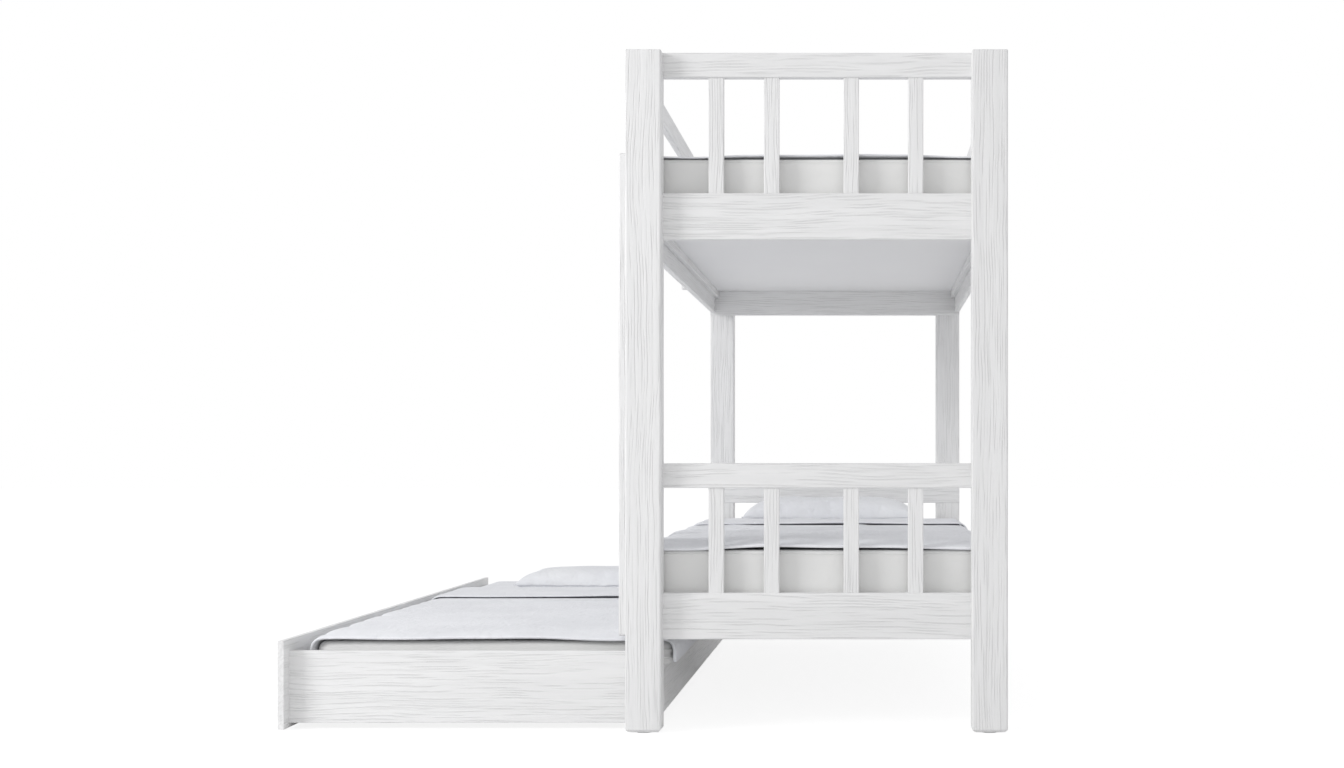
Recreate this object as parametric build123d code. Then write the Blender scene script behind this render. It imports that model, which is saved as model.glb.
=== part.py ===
from build123d import *

import os
from math import cos, pi, sin

os.makedirs("parts", exist_ok=True)

# Bunk bed with trundle. +Z is up, +Y runs from the foot end to the head end, and the trundle rolls
# out towards -X. The sizes are in millimetres, and places are first worked out from the middle of
# the bunk's width and from its foot end. The written model stands on the middle of its own box.

# The beds, and the room that the frame leaves round their mattresses
mattress_width = 900
bunk_mattress_length = 2000
trundle_mattress_shortening = 100
mattress_side_room = 12
mattress_end_room = 7
frame_height = 1715

# Corner posts and the glides nailed under them
post_width = 90
post_depth = 60
post_edge_radius = 5
post_top_radius = 3
post_foot_chamfer = 7
glide_thickness = 3
glide_radius = 20
glide_pin_radius = 2.5
glide_pin_length = 16

# Boards of the two end frames, housed in the inner sides of the posts
end_board_thickness = 28
housing_depth = 25
top_rail_height = 62
wide_rail_height = 117
headboard_height = 153
board_edge_radius = 3
upper_end_height = 355
lower_wide_rail_z = 232
lower_top_rail_z = 615
headboard_z = 519

# Slats of the end frames and the dowels that hold them
slat_width = 39
slat_thickness = 18
slat_edge_radius = 2.5
slat_place_shares = (-0.266, -0.12, 0.09, 0.26)
dowel_radius = 4
dowel_sink = 18
dowel_fit = 0.1
dowel_end_room = 0.5

# Side rails, with the ledgers and platforms that carry the mattresses
side_rail_thickness = 18
side_rail_height = 106
side_rail_edge_radius = 2.5
ledger_width = 15
ledger_height = 25
ledger_edge_radius = 1.5
ledger_end_gap = 4
ledger_screws_per_side = 9
platform_thickness = 12
platform_drop = 13
platform_side_gap = 0.5

# Guard boards and their battens
guard_middle_height = 63
guard_middle_gap = 134
guard_edge_radius = 3
guard_opening_end = 520
batten_width = 45
batten_thickness = 18
batten_edge_radius = 2.5
batten_end_inset = 6
batten_screw_margin = 14
guard_batten_share = 0.5

# Ladder, bolted to the outer faces of the left side rails
stile_thickness = 26
stile_width = 60
stile_edge_radius = 4
stile_end_radius = 9
stile_start_gap = 2
ladder_width = 410
ladder_trundle_clearance = 3
ladder_top_rise = 108
rung_count = 4
rung_first_z = 410
rung_spacing = 240
rung_height = 45
rung_thickness = 22
rung_edge_radius = 6
rung_tenon_length = 14
rung_tenon_height = 30
rung_tenon_thickness = 14
rung_fit = 0.2
ladder_bolt_radius = 4
ladder_bolt_head_radius = 9
ladder_bolt_head_height = 4
ladder_bolt_head_edge = 2.5
ladder_bolt_end = 3
ladder_bolt_fit = 0.1
ladder_nut_radius = 7.5
ladder_nut_height = 6.5
ladder_bolt_height = 29
ladder_bolt_inset = 44

# Cam fittings, a bolt in the cross piece and a cam in the rail
cam_radius = 7.5
cam_depth = 12.5
cam_reach = 24
cam_fit = 0.1
connector_radius = 3.5
connector_sink = 11
rail_cam_heights = (14, 38)

# Countersunk screws
screw_radius = 2
screw_head_radius = 4
screw_head_height = 2.2
screw_tip_length = 4
screw_fit = 0.1
frame_screw_length = 28
trundle_screw_length = 22
screw_end_margin = 60

# Trundle box
panel_thickness = 16
panel_height = 224
panel_floor_gap = 5
panel_end_inset = 27
panel_edge_radius = 2
box_side_room = 8
box_floor_gap = 16
box_end_height = 184
box_end_clearance = 4
box_rolled_out = 67
base_thickness = 12
base_fit = 0.5
bearer_width = 64
bearer_thickness = 20
rib_height = 63
rib_thickness = 18
bearer_screws = 3
bearer_end_inset = 190
cleat_width = 20
cleat_thickness = 12
cleat_screws = 7
trundle_cam_heights = (34, 142)
rear_cam_heights = (24, 110)

# Castors
wheel_radius = 25
wheel_width = 20
wheel_tread_radius = 3
wheel_hub_radius = 9
wheel_web_depth = 4
axle_radius = 4
axle_clearance = 0.06
axle_head_radius = 6.5
axle_head_height = 2
castor_cheek_gap = 1.5
castor_cheek_thickness = 3
castor_cheek_half_width = 12
castor_plate_thickness = 3
castor_plate_length = 62
castor_plate_half_width = 24
castor_wheel_room = 6
castor_side_inset = 90
castor_screw_inset = 7

# Mattresses
upper_mattress_height = 103
lower_mattress_height = 122
trundle_rail_clearance = 4
trundle_mattress_overhang = 38
mattress_edge_radius = 14
mattress_edge_rings = 5
mattress_side_draw = 4
mattress_corner_radius = 48

# Duvets, with the part that is turned back below the pillow
duvet_thickness = 12
duvet_puff = 3
duvet_puff_shares = (0, 0.36, 0.7, 1)
duvet_end_radius = 5
duvet_side_gap = 0.5
duvet_side_thickness = 6
duvet_side_drop = 38
duvet_side_radius = 8
duvet_corner_radius = 42
duvet_foot_overhang = 2.5
duvet_head_inset = 26
fold_length = 374
fold_pillow_gap = 44
fold_rise = 8
fold_nose = 3
trundle_drape_thickness = 11
trundle_drape_end_gap = 10
trundle_drape_wave = 12
trundle_drape_waves = 6

# Pillows
pillow_length = 630
pillow_width = 390
pillow_height = 74
trundle_pillow_height = 62
pillow_seam_height = 6
pillow_head_gap = 110
trundle_pillow_head_gap = 130
pillow_height_shares = (0, 0.55, 0.88, 1, 0.97, 0.86, 0.52, 0)
pillow_width_shares = (1, 0.965, 0.945, 0.94, 0.94, 0.945, 0.965, 1)
pillow_place_shares = (0, 0.07, 0.2, 0.4, 0.6, 0.8, 0.93, 1)
bunk_pillow_offset = 10
trundle_pillow_rail_gap = 26

# Places that follow from the sizes
rail_inner_x = mattress_width / 2 + mattress_side_room
half_width = rail_inner_x + side_rail_thickness
frame_width = 2 * half_width
board_outer_y = post_depth - housing_depth
board_inner_y = board_outer_y + end_board_thickness
frame_length = bunk_mattress_length + 2 * (board_inner_y + mattress_end_room)
trundle_mattress_length = bunk_mattress_length - trundle_mattress_shortening
upper_top_rail_z = frame_height - top_rail_height
upper_rail_top = frame_height - upper_end_height
upper_wide_rail_z = upper_rail_top - wide_rail_height
guard_middle_z = upper_rail_top + guard_middle_gap
ladder_top_z = upper_rail_top + ladder_top_rise
lower_rail_top = lower_wide_rail_z + wide_rail_height
slat_places = [share * frame_width for share in slat_place_shares]
ladder_start = post_depth + stile_start_gap
batten_outer_x = half_width + batten_thickness

box_width = mattress_width + 2 * box_side_room + panel_thickness
panel_outer_x = -half_width + box_rolled_out - box_width - panel_thickness
panel_inner_x = panel_outer_x + panel_thickness
box_rear_x = panel_inner_x + box_width
box_rear_inner_x = box_rear_x - panel_thickness
box_start = post_depth + box_end_clearance
box_end = frame_length - box_start
box_inner_start = box_start + panel_thickness
box_inner_end = box_end - panel_thickness
castor_height = 2 * wheel_radius + castor_wheel_room + castor_plate_thickness
rib_bottom_z = castor_height + bearer_thickness
base_bottom_z = rib_bottom_z + rib_height
base_top_z = base_bottom_z + base_thickness

# The trundle's bedding passes under the lower side rail, and the ladder ends above it
trundle_bedding_top = lower_rail_top - side_rail_height - trundle_rail_clearance
trundle_bed_top = trundle_bedding_top - fold_rise - duvet_thickness
trundle_mattress_height = trundle_bed_top - base_top_z
ladder_bottom_z = trundle_bed_top + duvet_thickness + duvet_puff + ladder_trundle_clearance
pillow_start = frame_length - pillow_head_gap - pillow_width
trundle_pillow_start = frame_length - trundle_pillow_head_gap - pillow_width
fold_end = pillow_start - fold_pillow_gap
fold_start = fold_end - fold_length

# The model's origin: the middle of the row's box, on the floor
origin_x = (panel_outer_x + batten_outer_x) / 2
origin_y = frame_length / 2


def block(x0, x1, y0, y1, z0, z1):
    """A box between two corners."""
    middle = Pos((x0 + x1) / 2, (y0 + y1) / 2, (z0 + z1) / 2)
    return middle * Box(x1 - x0, y1 - y0, z1 - z0)


def board(x0, x1, y0, y1, z0, z1, along, radius):
    """A box whose long edges are rounded."""
    piece = block(x0, x1, y0, y1, z0, z1)
    return fillet(piece.edges().filter_by(along), radius)


def mirrored(y, end):
    """A place along the length, counted from the foot end or from the head end."""
    return y if end == "foot" else frame_length - y


def span(a, b):
    """Two places in rising order."""
    return min(a, b), max(a, b)


def rod(start, direction, length, radius):
    """A round bar from a point along a direction."""
    return Plane(origin=start, z_dir=direction) * Cylinder(
        radius, length, align=(Align.CENTER, Align.CENTER, Align.MIN)
    )


def boxes_meet(a, b):
    """Whether the boxes of two shapes overlap."""
    low = [max(p, q) for p, q in zip(a.min, b.min)]
    high = [min(p, q) for p, q in zip(a.max, b.max)]
    return all(p < q for p, q in zip(low, high))


def cut(piece, holes):
    """Takes the holes that reach a piece out of it."""
    box = piece.bounding_box()
    near = [hole for hole in holes if boxes_meet(box, hole.bounding_box())]
    return piece - near if near else piece


# End frames

def post(side, end):
    """A corner post with rounded edges, chamfered at the foot, housed for the end boards."""
    x0, x1 = span(side * (half_width - post_width), side * half_width)
    y0, y1 = span(mirrored(0, end), mirrored(post_depth, end))
    piece = block(x0, x1, y0, y1, glide_thickness, frame_height)
    piece = chamfer(piece.faces().sort_by(Axis.Z)[0].edges(), post_foot_chamfer)
    piece = fillet(piece.edges().filter_by(Axis.Z), post_edge_radius)
    piece = fillet(piece.faces().sort_by(Axis.Z)[-1].edges(), post_top_radius)
    y_deep, y_face = mirrored(board_outer_y, end), mirrored(board_inner_y, end)
    y0, y1 = span(y_deep, y_face)
    for z, height in end_board_places(end):
        piece -= block(-frame_width, frame_width, y0, y1, z, z + height)
    return piece


def end_board_places(end):
    """The bottom and height of each board that the posts of one end hold."""
    places = [
        (upper_top_rail_z, top_rail_height),
        (upper_wide_rail_z, wide_rail_height),
        (lower_wide_rail_z, wide_rail_height),
    ]
    if end == "foot":
        places.append((lower_top_rail_z, top_rail_height))
    else:
        places.append((headboard_z, headboard_height))
    return places


def end_board(end, z, height):
    """A board across the full width, in the housings of two posts."""
    y0, y1 = span(mirrored(board_outer_y, end), mirrored(board_inner_y, end))
    return board(-half_width, half_width, y0, y1, z, z + height, Axis.X, board_edge_radius)


def slat_row(end, z0, z1):
    """Four upright slats between two boards."""
    middle = mirrored(board_outer_y + end_board_thickness / 2, end)
    y0, y1 = middle - slat_thickness / 2, middle + slat_thickness / 2
    row = []
    for x in slat_places:
        x0, x1 = x - slat_width / 2, x + slat_width / 2
        row.append(board(x0, x1, y0, y1, z0, z1, Axis.Z, slat_edge_radius))
    return row


def slat_dowels(end, joint_z, fit=0):
    """The dowels of one row of slat ends, or with a fit the holes that take them."""
    middle = mirrored(board_outer_y + end_board_thickness / 2, end)
    room = dowel_end_room if fit else 0
    low, length = joint_z - dowel_sink - room, 2 * (dowel_sink + room)
    return [rod((x, middle, low), (0, 0, 1), length, dowel_radius + fit) for x in slat_places]


slat_joints = [
    ("foot", upper_rail_top),
    ("foot", upper_top_rail_z),
    ("foot", lower_rail_top),
    ("foot", lower_top_rail_z),
    ("head", upper_rail_top),
    ("head", upper_top_rail_z),
]


def dowel_holes(end):
    """Every dowel hole in one end frame."""
    holes = []
    for joint_end, z in slat_joints:
        if joint_end == end:
            holes += slat_dowels(end, z, dowel_fit)
    return holes


def floor_glide(side, end):
    """A round glide with a pin that is nailed into the post."""
    x, y = side * (half_width - post_width / 2), mirrored(post_depth / 2, end)
    disc = rod((x, y, 0), (0, 0, 1), glide_thickness, glide_radius)
    return disc + rod((x, y, 0), (0, 0, 1), glide_thickness + glide_pin_length, glide_pin_radius)


def glide_hole(side, end):
    """The hole for a glide's pin."""
    x, y = side * (half_width - post_width / 2), mirrored(post_depth / 2, end)
    length = glide_thickness + glide_pin_length + dowel_end_room
    return rod((x, y, 0), (0, 0, 1), length, glide_pin_radius + dowel_fit)


# Cam fittings and screws

def cam_frame(butt, along, face):
    """The local frame of a fitting: X runs into the rail, Z points out of the cam's face."""
    return Plane(origin=butt, x_dir=along, z_dir=face)


def cam_fitting(butt, along, face, rail_thickness):
    """A connecting bolt and its cam, as two solids."""
    bolt = rod((-connector_sink, 0, 0), (1, 0, 0), connector_sink + cam_reach, connector_radius)
    bottom = rail_thickness / 2 - cam_depth
    cam = rod((cam_reach, 0, bottom), (0, 0, 1), cam_depth, cam_radius)
    cam -= rod((0, 0, 0), (1, 0, 0), cam_reach + cam_fit, connector_radius + cam_fit)
    frame = cam_frame(butt, along, face)
    return [frame * bolt, frame * cam]


def cam_hole(butt, along, face, rail_thickness):
    """The bore and pocket for a fitting."""
    start = -connector_sink - cam_fit
    hole = rod((start, 0, 0), (1, 0, 0), cam_reach - start, connector_radius + cam_fit)
    bottom = rail_thickness / 2 - cam_depth - cam_fit
    depth = rail_thickness - bottom
    hole += rod((cam_reach, 0, bottom), (0, 0, 1), depth, cam_radius + cam_fit)
    return cam_frame(butt, along, face) * hole


def screw_shape(length, fit=0):
    """A countersunk screw that points down from the origin, or with a fit its hole."""
    shank, head = screw_radius + fit, screw_head_radius + fit
    tip = length - screw_tip_length
    deep = length + fit
    points = [(0, fit), (head, fit), (head, 0), (shank, -screw_head_height), (shank, -tip), (0, -deep)]
    if not fit:
        points = points[:1] + points[2:]
    outline = Plane.XZ * make_face(Polyline(*points, close=True))
    return revolve(outline, Axis.Z)


def screws(places, length, fit=0):
    """Screws, or their holes, whose heads lie at points with outward directions."""
    shape = screw_shape(length, fit)
    return [Plane(origin=point, z_dir=outward) * shape for point, outward in places]


def evenly(start, end, count):
    """Places spread from start to end."""
    return [start + (end - start) * i / (count - 1) for i in range(count)]


# Side rails, ledgers and platforms

def side_board(side, y0, y1, z, height, radius):
    """A board along the bed whose outer face is flush with the posts."""
    x0, x1 = span(side * rail_inner_x, side * half_width)
    return board(x0, x1, y0, y1, z, z + height, Axis.Y, radius)


def rail_bottom(rail_top):
    """A side rail lies flush with the top of the wide rails."""
    return rail_top - side_rail_height


def platform_underside(rail_top):
    return rail_top - platform_drop - platform_thickness


def ledger(side, rail_top):
    """A strip screwed inside a side rail, under the platform."""
    top = platform_underside(rail_top)
    x0, x1 = span(side * rail_inner_x, side * (rail_inner_x - ledger_width))
    y0 = board_inner_y + ledger_end_gap
    y1 = frame_length - y0
    return board(x0, x1, y0, y1, top - ledger_height, top, Axis.Y, ledger_edge_radius)


def ledger_screw_places(side, rail_top):
    z = platform_underside(rail_top) - ledger_height / 2
    x = side * (rail_inner_x - ledger_width)
    start = board_inner_y + screw_end_margin
    rows = evenly(start, frame_length - start, ledger_screws_per_side)
    return [((x, y, z), (-side, 0, 0)) for y in rows]


def platform(rail_top):
    """The panel that carries a mattress."""
    x = rail_inner_x - platform_side_gap
    y0 = board_inner_y + platform_side_gap
    z = platform_underside(rail_top)
    return block(-x, x, y0, frame_length - y0, z, z + platform_thickness)


def rail_cams(side, z, heights, y_foot, y_head):
    """Where the fittings of a rail sit: butt point, direction into the rail, cam face, thickness."""
    x = side * (half_width - side_rail_thickness / 2)
    places = []
    for height in heights:
        if y_foot is not None:
            places.append(((x, y_foot, z + height), (0, 1, 0), (-side, 0, 0), side_rail_thickness))
        if y_head is not None:
            places.append(((x, y_head, z + height), (0, -1, 0), (-side, 0, 0), side_rail_thickness))
    return places


# Guard boards

guard_top_z = frame_height - top_rail_height
guard_start = {-1: guard_opening_end, 1: None}
guard_boards = {}
for side, name in ((-1, "left"), (1, "right")):
    opening = guard_start[side]
    top_start = opening if opening is not None else board_inner_y
    middle_start = opening if opening is not None else post_depth
    guard_boards["guard_top_" + name] = (
        side, top_start, frame_length - board_inner_y, guard_top_z, top_rail_height
    )
    guard_boards["guard_middle_" + name] = (
        side, middle_start, frame_length - post_depth, guard_middle_z, guard_middle_height
    )


def batten_starts():
    """Where the upright battens outside each guard begin."""
    middle = guard_opening_end + guard_batten_share * (frame_length - guard_opening_end)
    return [guard_opening_end, middle - batten_width / 2]


def guard_batten(side, y0):
    """An upright batten from the side rail to the top guard board, on their outer faces."""
    x0, x1 = span(side * half_width, side * batten_outer_x)
    z0 = rail_bottom(upper_rail_top) + batten_end_inset
    z1 = frame_height - batten_end_inset
    return board(x0, x1, y0, y0 + batten_width, z0, z1, Axis.Z, batten_edge_radius)


def batten_screw_places(side, y0):
    """Two screws through a batten into each board that it crosses."""
    x = side * batten_outer_x
    crossings = [
        (rail_bottom(upper_rail_top), side_rail_height),
        (guard_middle_z, guard_middle_height),
        (guard_top_z, top_rail_height),
    ]
    places = []
    for z, height in crossings:
        for level in (z + batten_screw_margin, z + height - batten_screw_margin):
            places.append(((x, y0 + batten_width / 2, level), (side, 0, 0)))
    return places


# Ladder

def stile(y0):
    """An upright of the ladder with rounded edges and ends."""
    x1 = -half_width
    x0 = x1 - stile_thickness
    piece = block(x0, x1, y0, y0 + stile_width, ladder_bottom_z, ladder_top_z)
    piece = fillet(piece.edges().filter_by(Axis.X), stile_end_radius)
    outer = piece.faces().sort_by(Axis.X)[0]
    return fillet(outer.edges(), stile_edge_radius)


def rung_levels():
    return [rung_first_z + rung_spacing * i for i in range(rung_count)]


def rung(z, fit=0):
    """A flat rung with a tenon at each end, or with a fit only the mortises' space."""
    y0 = ladder_start + stile_width
    y1 = ladder_start + ladder_width - stile_width
    x = -half_width - stile_thickness / 2
    tenon_x = rung_tenon_thickness / 2 + fit
    tenon_z = rung_tenon_height / 2 + fit
    deep = rung_tenon_length + fit
    tenon = block(x - tenon_x, x + tenon_x, y0 - deep, y1 + deep, z - tenon_z, z + tenon_z)
    if fit:
        return tenon
    half = rung_thickness / 2
    half_high = rung_height / 2
    body = block(x - half, x + half, y0, y1, z - half_high, z + half_high)
    return fillet(body.edges().filter_by(Axis.Y), rung_edge_radius) + tenon


def ladder_bolt_places():
    """The bolts' heads on the outer faces of the stiles, one at each side rail."""
    places = []
    for y0 in (ladder_start, ladder_start + ladder_width - stile_width):
        for rail_top in (upper_rail_top, lower_rail_top):
            z = rail_bottom(rail_top) + ladder_bolt_height
            places.append((-half_width - stile_thickness, y0 + ladder_bolt_inset, z))
    return places


def ladder_bolt(place):
    """A bolt with a low round head outside and a nut inside the side rail."""
    x, y, z = place
    head = rod((x, y, z), (-1, 0, 0), ladder_bolt_head_height, ladder_bolt_head_radius)
    head = fillet(head.edges().sort_by(Axis.X)[0], ladder_bolt_head_edge)
    reach = stile_thickness + side_rail_thickness + ladder_nut_height + ladder_bolt_end
    shank = rod((x, y, z), (1, 0, 0), reach, ladder_bolt_radius)
    seat = Plane(origin=(-rail_inner_x, y, z), z_dir=(1, 0, 0))
    nut = seat * extrude(RegularPolygon(ladder_nut_radius, 6), ladder_nut_height)
    nut -= rod((x, y, z), (1, 0, 0), 2 * reach, ladder_bolt_radius + ladder_bolt_fit)
    return [head + shank, nut]


def ladder_bolt_hole(place):
    length = stile_thickness + side_rail_thickness
    return rod(place, (1, 0, 0), length, ladder_bolt_radius + ladder_bolt_fit)


# Trundle box

def trundle_end_board(end):
    """A low board across one end of the trundle box."""
    y0, y1 = span(mirrored(box_start, end), mirrored(box_inner_start, end))
    z0 = box_floor_gap
    x0, x1 = panel_inner_x, box_rear_inner_x
    return board(x0, x1, y0, y1, z0, z0 + box_end_height, Axis.X, panel_edge_radius)


def trundle_front_panel():
    """The long front panel, a little longer than the box."""
    y0 = panel_end_inset
    z0 = panel_floor_gap
    piece = block(panel_outer_x, panel_inner_x, y0, frame_length - y0, z0, z0 + panel_height)
    outer = piece.faces().sort_by(Axis.X)[0]
    return fillet(outer.edges(), panel_edge_radius)


def trundle_rear_board():
    """The board along the rear of the box, level with the base, so that the mattress can reach over it."""
    x0, x1 = box_rear_inner_x, box_rear_x
    return board(x0, x1, box_start, box_end, box_floor_gap, base_top_z, Axis.Y, panel_edge_radius)


def bearer_places():
    """The middle of each cross bearer along the bed."""
    inset = box_inner_start + bearer_end_inset
    return [inset, frame_length / 2, frame_length - inset]


def cross_piece(y, width, z0, z1):
    """A piece across the box, between the two cleats."""
    x0 = panel_inner_x + cleat_thickness
    x1 = box_rear_inner_x - cleat_thickness
    return block(x0, x1, y - width / 2, y + width / 2, z0, z1)


def bearer(y):
    """A flat cross bearer for the castors and the upright rib on it that carries the base."""
    return [
        cross_piece(y, bearer_width, castor_height, rib_bottom_z),
        cross_piece(y, rib_thickness, rib_bottom_z, base_bottom_z),
    ]


def cleat(x_face, inward):
    """A strip under the base's long edge, screwed to the front panel or the rear board."""
    x0, x1 = span(x_face, x_face + inward * cleat_thickness)
    y0, y1 = box_inner_start + ledger_end_gap, box_inner_end - ledger_end_gap
    return block(x0, x1, y0, y1, base_bottom_z - cleat_width, base_bottom_z)


def cleat_screw_places(x_face, inward):
    z = base_bottom_z - cleat_width / 2
    x = x_face + inward * cleat_thickness
    rows = evenly(box_inner_start + screw_end_margin, box_inner_end - screw_end_margin, cleat_screws)
    return [((x, y, z), (inward, 0, 0)) for y in rows]


def trundle_base():
    """The panel that carries the trundle mattress."""
    x0, x1 = panel_inner_x + base_fit, box_rear_inner_x - base_fit
    y0, y1 = box_inner_start + base_fit, box_inner_end - base_fit
    return block(x0, x1, y0, y1, base_bottom_z, base_top_z)


def base_screw_places():
    """Screws down through the base into the bearers."""
    inset = castor_side_inset / 2
    rows = evenly(panel_inner_x + inset, box_rear_inner_x - inset, bearer_screws)
    return [((x, y, base_top_z), (0, 0, 1)) for y in bearer_places() for x in rows]


def trundle_cams():
    """Fittings that join the end boards to the front panel and the rear board."""
    places = []
    for end, out in (("foot", 1), ("head", -1)):
        y = mirrored(box_start + panel_thickness / 2, end)
        for height in trundle_cam_heights:
            z = box_floor_gap + height
            places.append(((panel_inner_x, y, z), (1, 0, 0), (0, out, 0), panel_thickness))
        for height in rear_cam_heights:
            z = box_floor_gap + height
            places.append(((box_rear_inner_x, y, z), (-1, 0, 0), (0, out, 0), panel_thickness))
    return places


# Castors

def castor_centres():
    """The wheel centres, under the outer bearers."""
    first, _, last = bearer_places()
    x0 = panel_inner_x + castor_side_inset
    x1 = box_rear_inner_x - castor_side_inset
    return [(x, y, wheel_radius) for y in (first, last) for x in (x0, x1)]


def castor_fork(centre):
    """A plate with two cheeks that hold the axle."""
    x, y, z = centre
    half = wheel_width / 2 + castor_cheek_gap
    plate_y = castor_plate_length / 2
    plate_x = castor_plate_half_width
    plate_z = castor_height - castor_plate_thickness
    fork = block(x - plate_x, x + plate_x, y - plate_y, y + plate_y, plate_z, castor_height)
    for out in (-1, 1):
        y0, y1 = span(y + out * half, y + out * (half + castor_cheek_thickness))
        wide = castor_cheek_half_width
        fork += block(x - wide, x + wide, y0, y1, z, plate_z)
        fork += rod((x, y0, z), (0, 1, 0), castor_cheek_thickness, wide)
    reach = half + castor_cheek_thickness
    return fork - rod((x, y - reach, z), (0, 1, 0), 2 * reach, axle_radius + axle_clearance)


def castor_axle(centre):
    """A riveted pin through both cheeks and the wheel."""
    x, y, z = centre
    half = wheel_width / 2 + castor_cheek_gap + castor_cheek_thickness
    pin = rod((x, y - half, z), (0, 1, 0), 2 * half, axle_radius)
    for out in (-1, 1):
        pin += rod((x, y + out * half, z), (0, out, 0), axle_head_height, axle_head_radius)
    return pin


def castor_wheel(centre):
    """A wheel with a rounded tread, a recessed web on each side and a bored hub."""
    x, y, z = centre
    half = wheel_width / 2
    wheel = rod((x, y - half, z), (0, 1, 0), wheel_width, wheel_radius)
    wheel = fillet(wheel.edges().filter_by(GeomType.CIRCLE), wheel_tread_radius)
    rim = wheel_radius - 2 * wheel_tread_radius
    for out in (-1, 1):
        face = (x, y + out * half, z)
        ring = rod(face, (0, -out, 0), wheel_web_depth, rim)
        wheel -= ring - rod(face, (0, -out, 0), wheel_web_depth, wheel_hub_radius)
    return wheel - rod((x, y - half, z), (0, 1, 0), wheel_width, axle_radius + axle_clearance)


def castor_screw_places():
    """Screws up through the castor plates into the bearers."""
    places = []
    plate_z = castor_height - castor_plate_thickness
    dx = castor_plate_half_width - castor_screw_inset
    dy = castor_plate_length / 2 - castor_screw_inset
    for x, y, _ in castor_centres():
        places += [((x + i * dx, y + j * dy, plate_z), (0, 0, -1)) for i in (-1, 1) for j in (-1, 1)]
    return places


# Bedding

def across(face, y0, y1):
    """Carries an outline of X and Z from y0 to y1."""
    return Plane(origin=(0, y1, 0), x_dir=(1, 0, 0), z_dir=(0, -1, 0)) * extrude(
        face, y1 - y0, dir=(0, 0, 1)
    )


def lengthwise(face, x0, x1):
    """Carries an outline of Y and Z from x0 to x1."""
    return Plane(origin=(x0, 0, 0), x_dir=(0, 1, 0), z_dir=(1, 0, 0)) * extrude(
        face, x1 - x0, dir=(0, 0, 1)
    )


def plan(x0, x1, y0, y1, z0, z1, radius):
    """A block with round corners seen from above."""
    return board(x0, x1, y0, y1, z0, z1, Axis.Z, radius)


def mattress_rings(height):
    """Inset and level of each ring of a mattress: round lower edge, drawn-in middle, round upper edge."""
    quarter = [
        (mattress_edge_radius * (1 - sin(angle)), mattress_edge_radius * (1 - cos(angle)))
        for angle in evenly(0, pi / 2, mattress_edge_rings)
    ]
    upper = [(inset, height - level) for inset, level in reversed(quarter)]
    return quarter + [(mattress_side_draw, height / 2)] + upper


def mattress(x0, y0, length, z0, height):
    """A mattress with soft edges, round corners and sides that pull in between its edges."""
    x_middle, y_middle = x0 + mattress_width / 2, y0 + length / 2
    rings = []
    for inset, level in mattress_rings(height):
        wide, long = mattress_width - 2 * inset, length - 2 * inset
        ring = RectangleRounded(wide, long, mattress_corner_radius - inset)
        rings.append(Pos(x_middle, y_middle, z0 + level) * ring)
    return loft(rings, ruled=True)


def duvet_length_profile(y0, y1, z0):
    """The duvet seen from the side: soft puffs, then the turned back part, one layer higher."""
    r, t = duvet_end_radius, z0 + duvet_thickness
    top = t + fold_rise
    starts = [y0 + r + (fold_start - y0 - r) * share for share in duvet_puff_shares]
    lines = [
        Line((y1 - r, z0), (y0 + r, z0)),
        ThreePointArc((y0 + r, z0), (y0, (z0 + t) / 2), (y0 + r, t)),
    ]
    for a, b in zip(starts, starts[1:]):
        lines.append(ThreePointArc((a, t), ((a + b) / 2, t + duvet_puff), (b, t)))
    lines += [
        ThreePointArc((fold_start, t), (fold_start - fold_nose, (t + top) / 2), (fold_start, top)),
        Line((fold_start, top), (fold_end, top)),
        ThreePointArc((fold_end, top), (fold_end + fold_nose, (t + top) / 2), (fold_end, t)),
        Line((fold_end, t), (y1 - r, t)),
        ThreePointArc((y1 - r, t), (y1, (z0 + t) / 2), (y1 - r, z0)),
    ]
    return make_face(lines)


def duvet_top(x0, x1, y0, y1, z0):
    """The flat part of a duvet, rounded at its sides."""
    top = z0 + duvet_thickness + fold_rise
    body = lengthwise(duvet_length_profile(y0, y1, z0), x0, x1)
    rounded = block(x0, x1, y0, y1, z0, top)
    upper = rounded.faces().sort_by(Axis.Z)[-1].edges().filter_by(Axis.Y)
    return body & fillet(upper, duvet_side_radius) & plan(x0, x1, y0, y1, z0, top, duvet_corner_radius)


def duvet_drop(x_in, x_out, y0, y1, z0, z1):
    """The part of a duvet that hangs down beside the mattress."""
    a, b = span(x_in, x_out)
    middle = (a + b) / 2
    half = (b - a) / 2
    outline = make_face([
        Line((b, z0 + half), (b, z1)),
        Line((b, z1), (a, z1)),
        Line((a, z1), (a, z0 + half)),
        ThreePointArc((a, z0 + half), (middle, z0), (b, z0 + half)),
    ])
    return across(outline, y0, y1)


def bunk_duvet(z0):
    """A duvet on a bunk mattress, its sides tucked between the mattress and the side rails."""
    inner = mattress_width / 2 + duvet_side_gap
    outer = inner + duvet_side_thickness
    y0 = bunk_bed_start - duvet_foot_overhang
    y1 = bunk_bed_start + bunk_mattress_length - duvet_head_inset
    body = duvet_top(-outer, outer, y0, y1, z0)
    a, b = y0 + duvet_corner_radius, y1 - duvet_corner_radius
    low, joined = z0 - duvet_side_drop, z0 + duvet_thickness / 2
    for side in (-1, 1):
        body += duvet_drop(side * inner, side * outer, a, b, low, joined)
    return body


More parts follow.
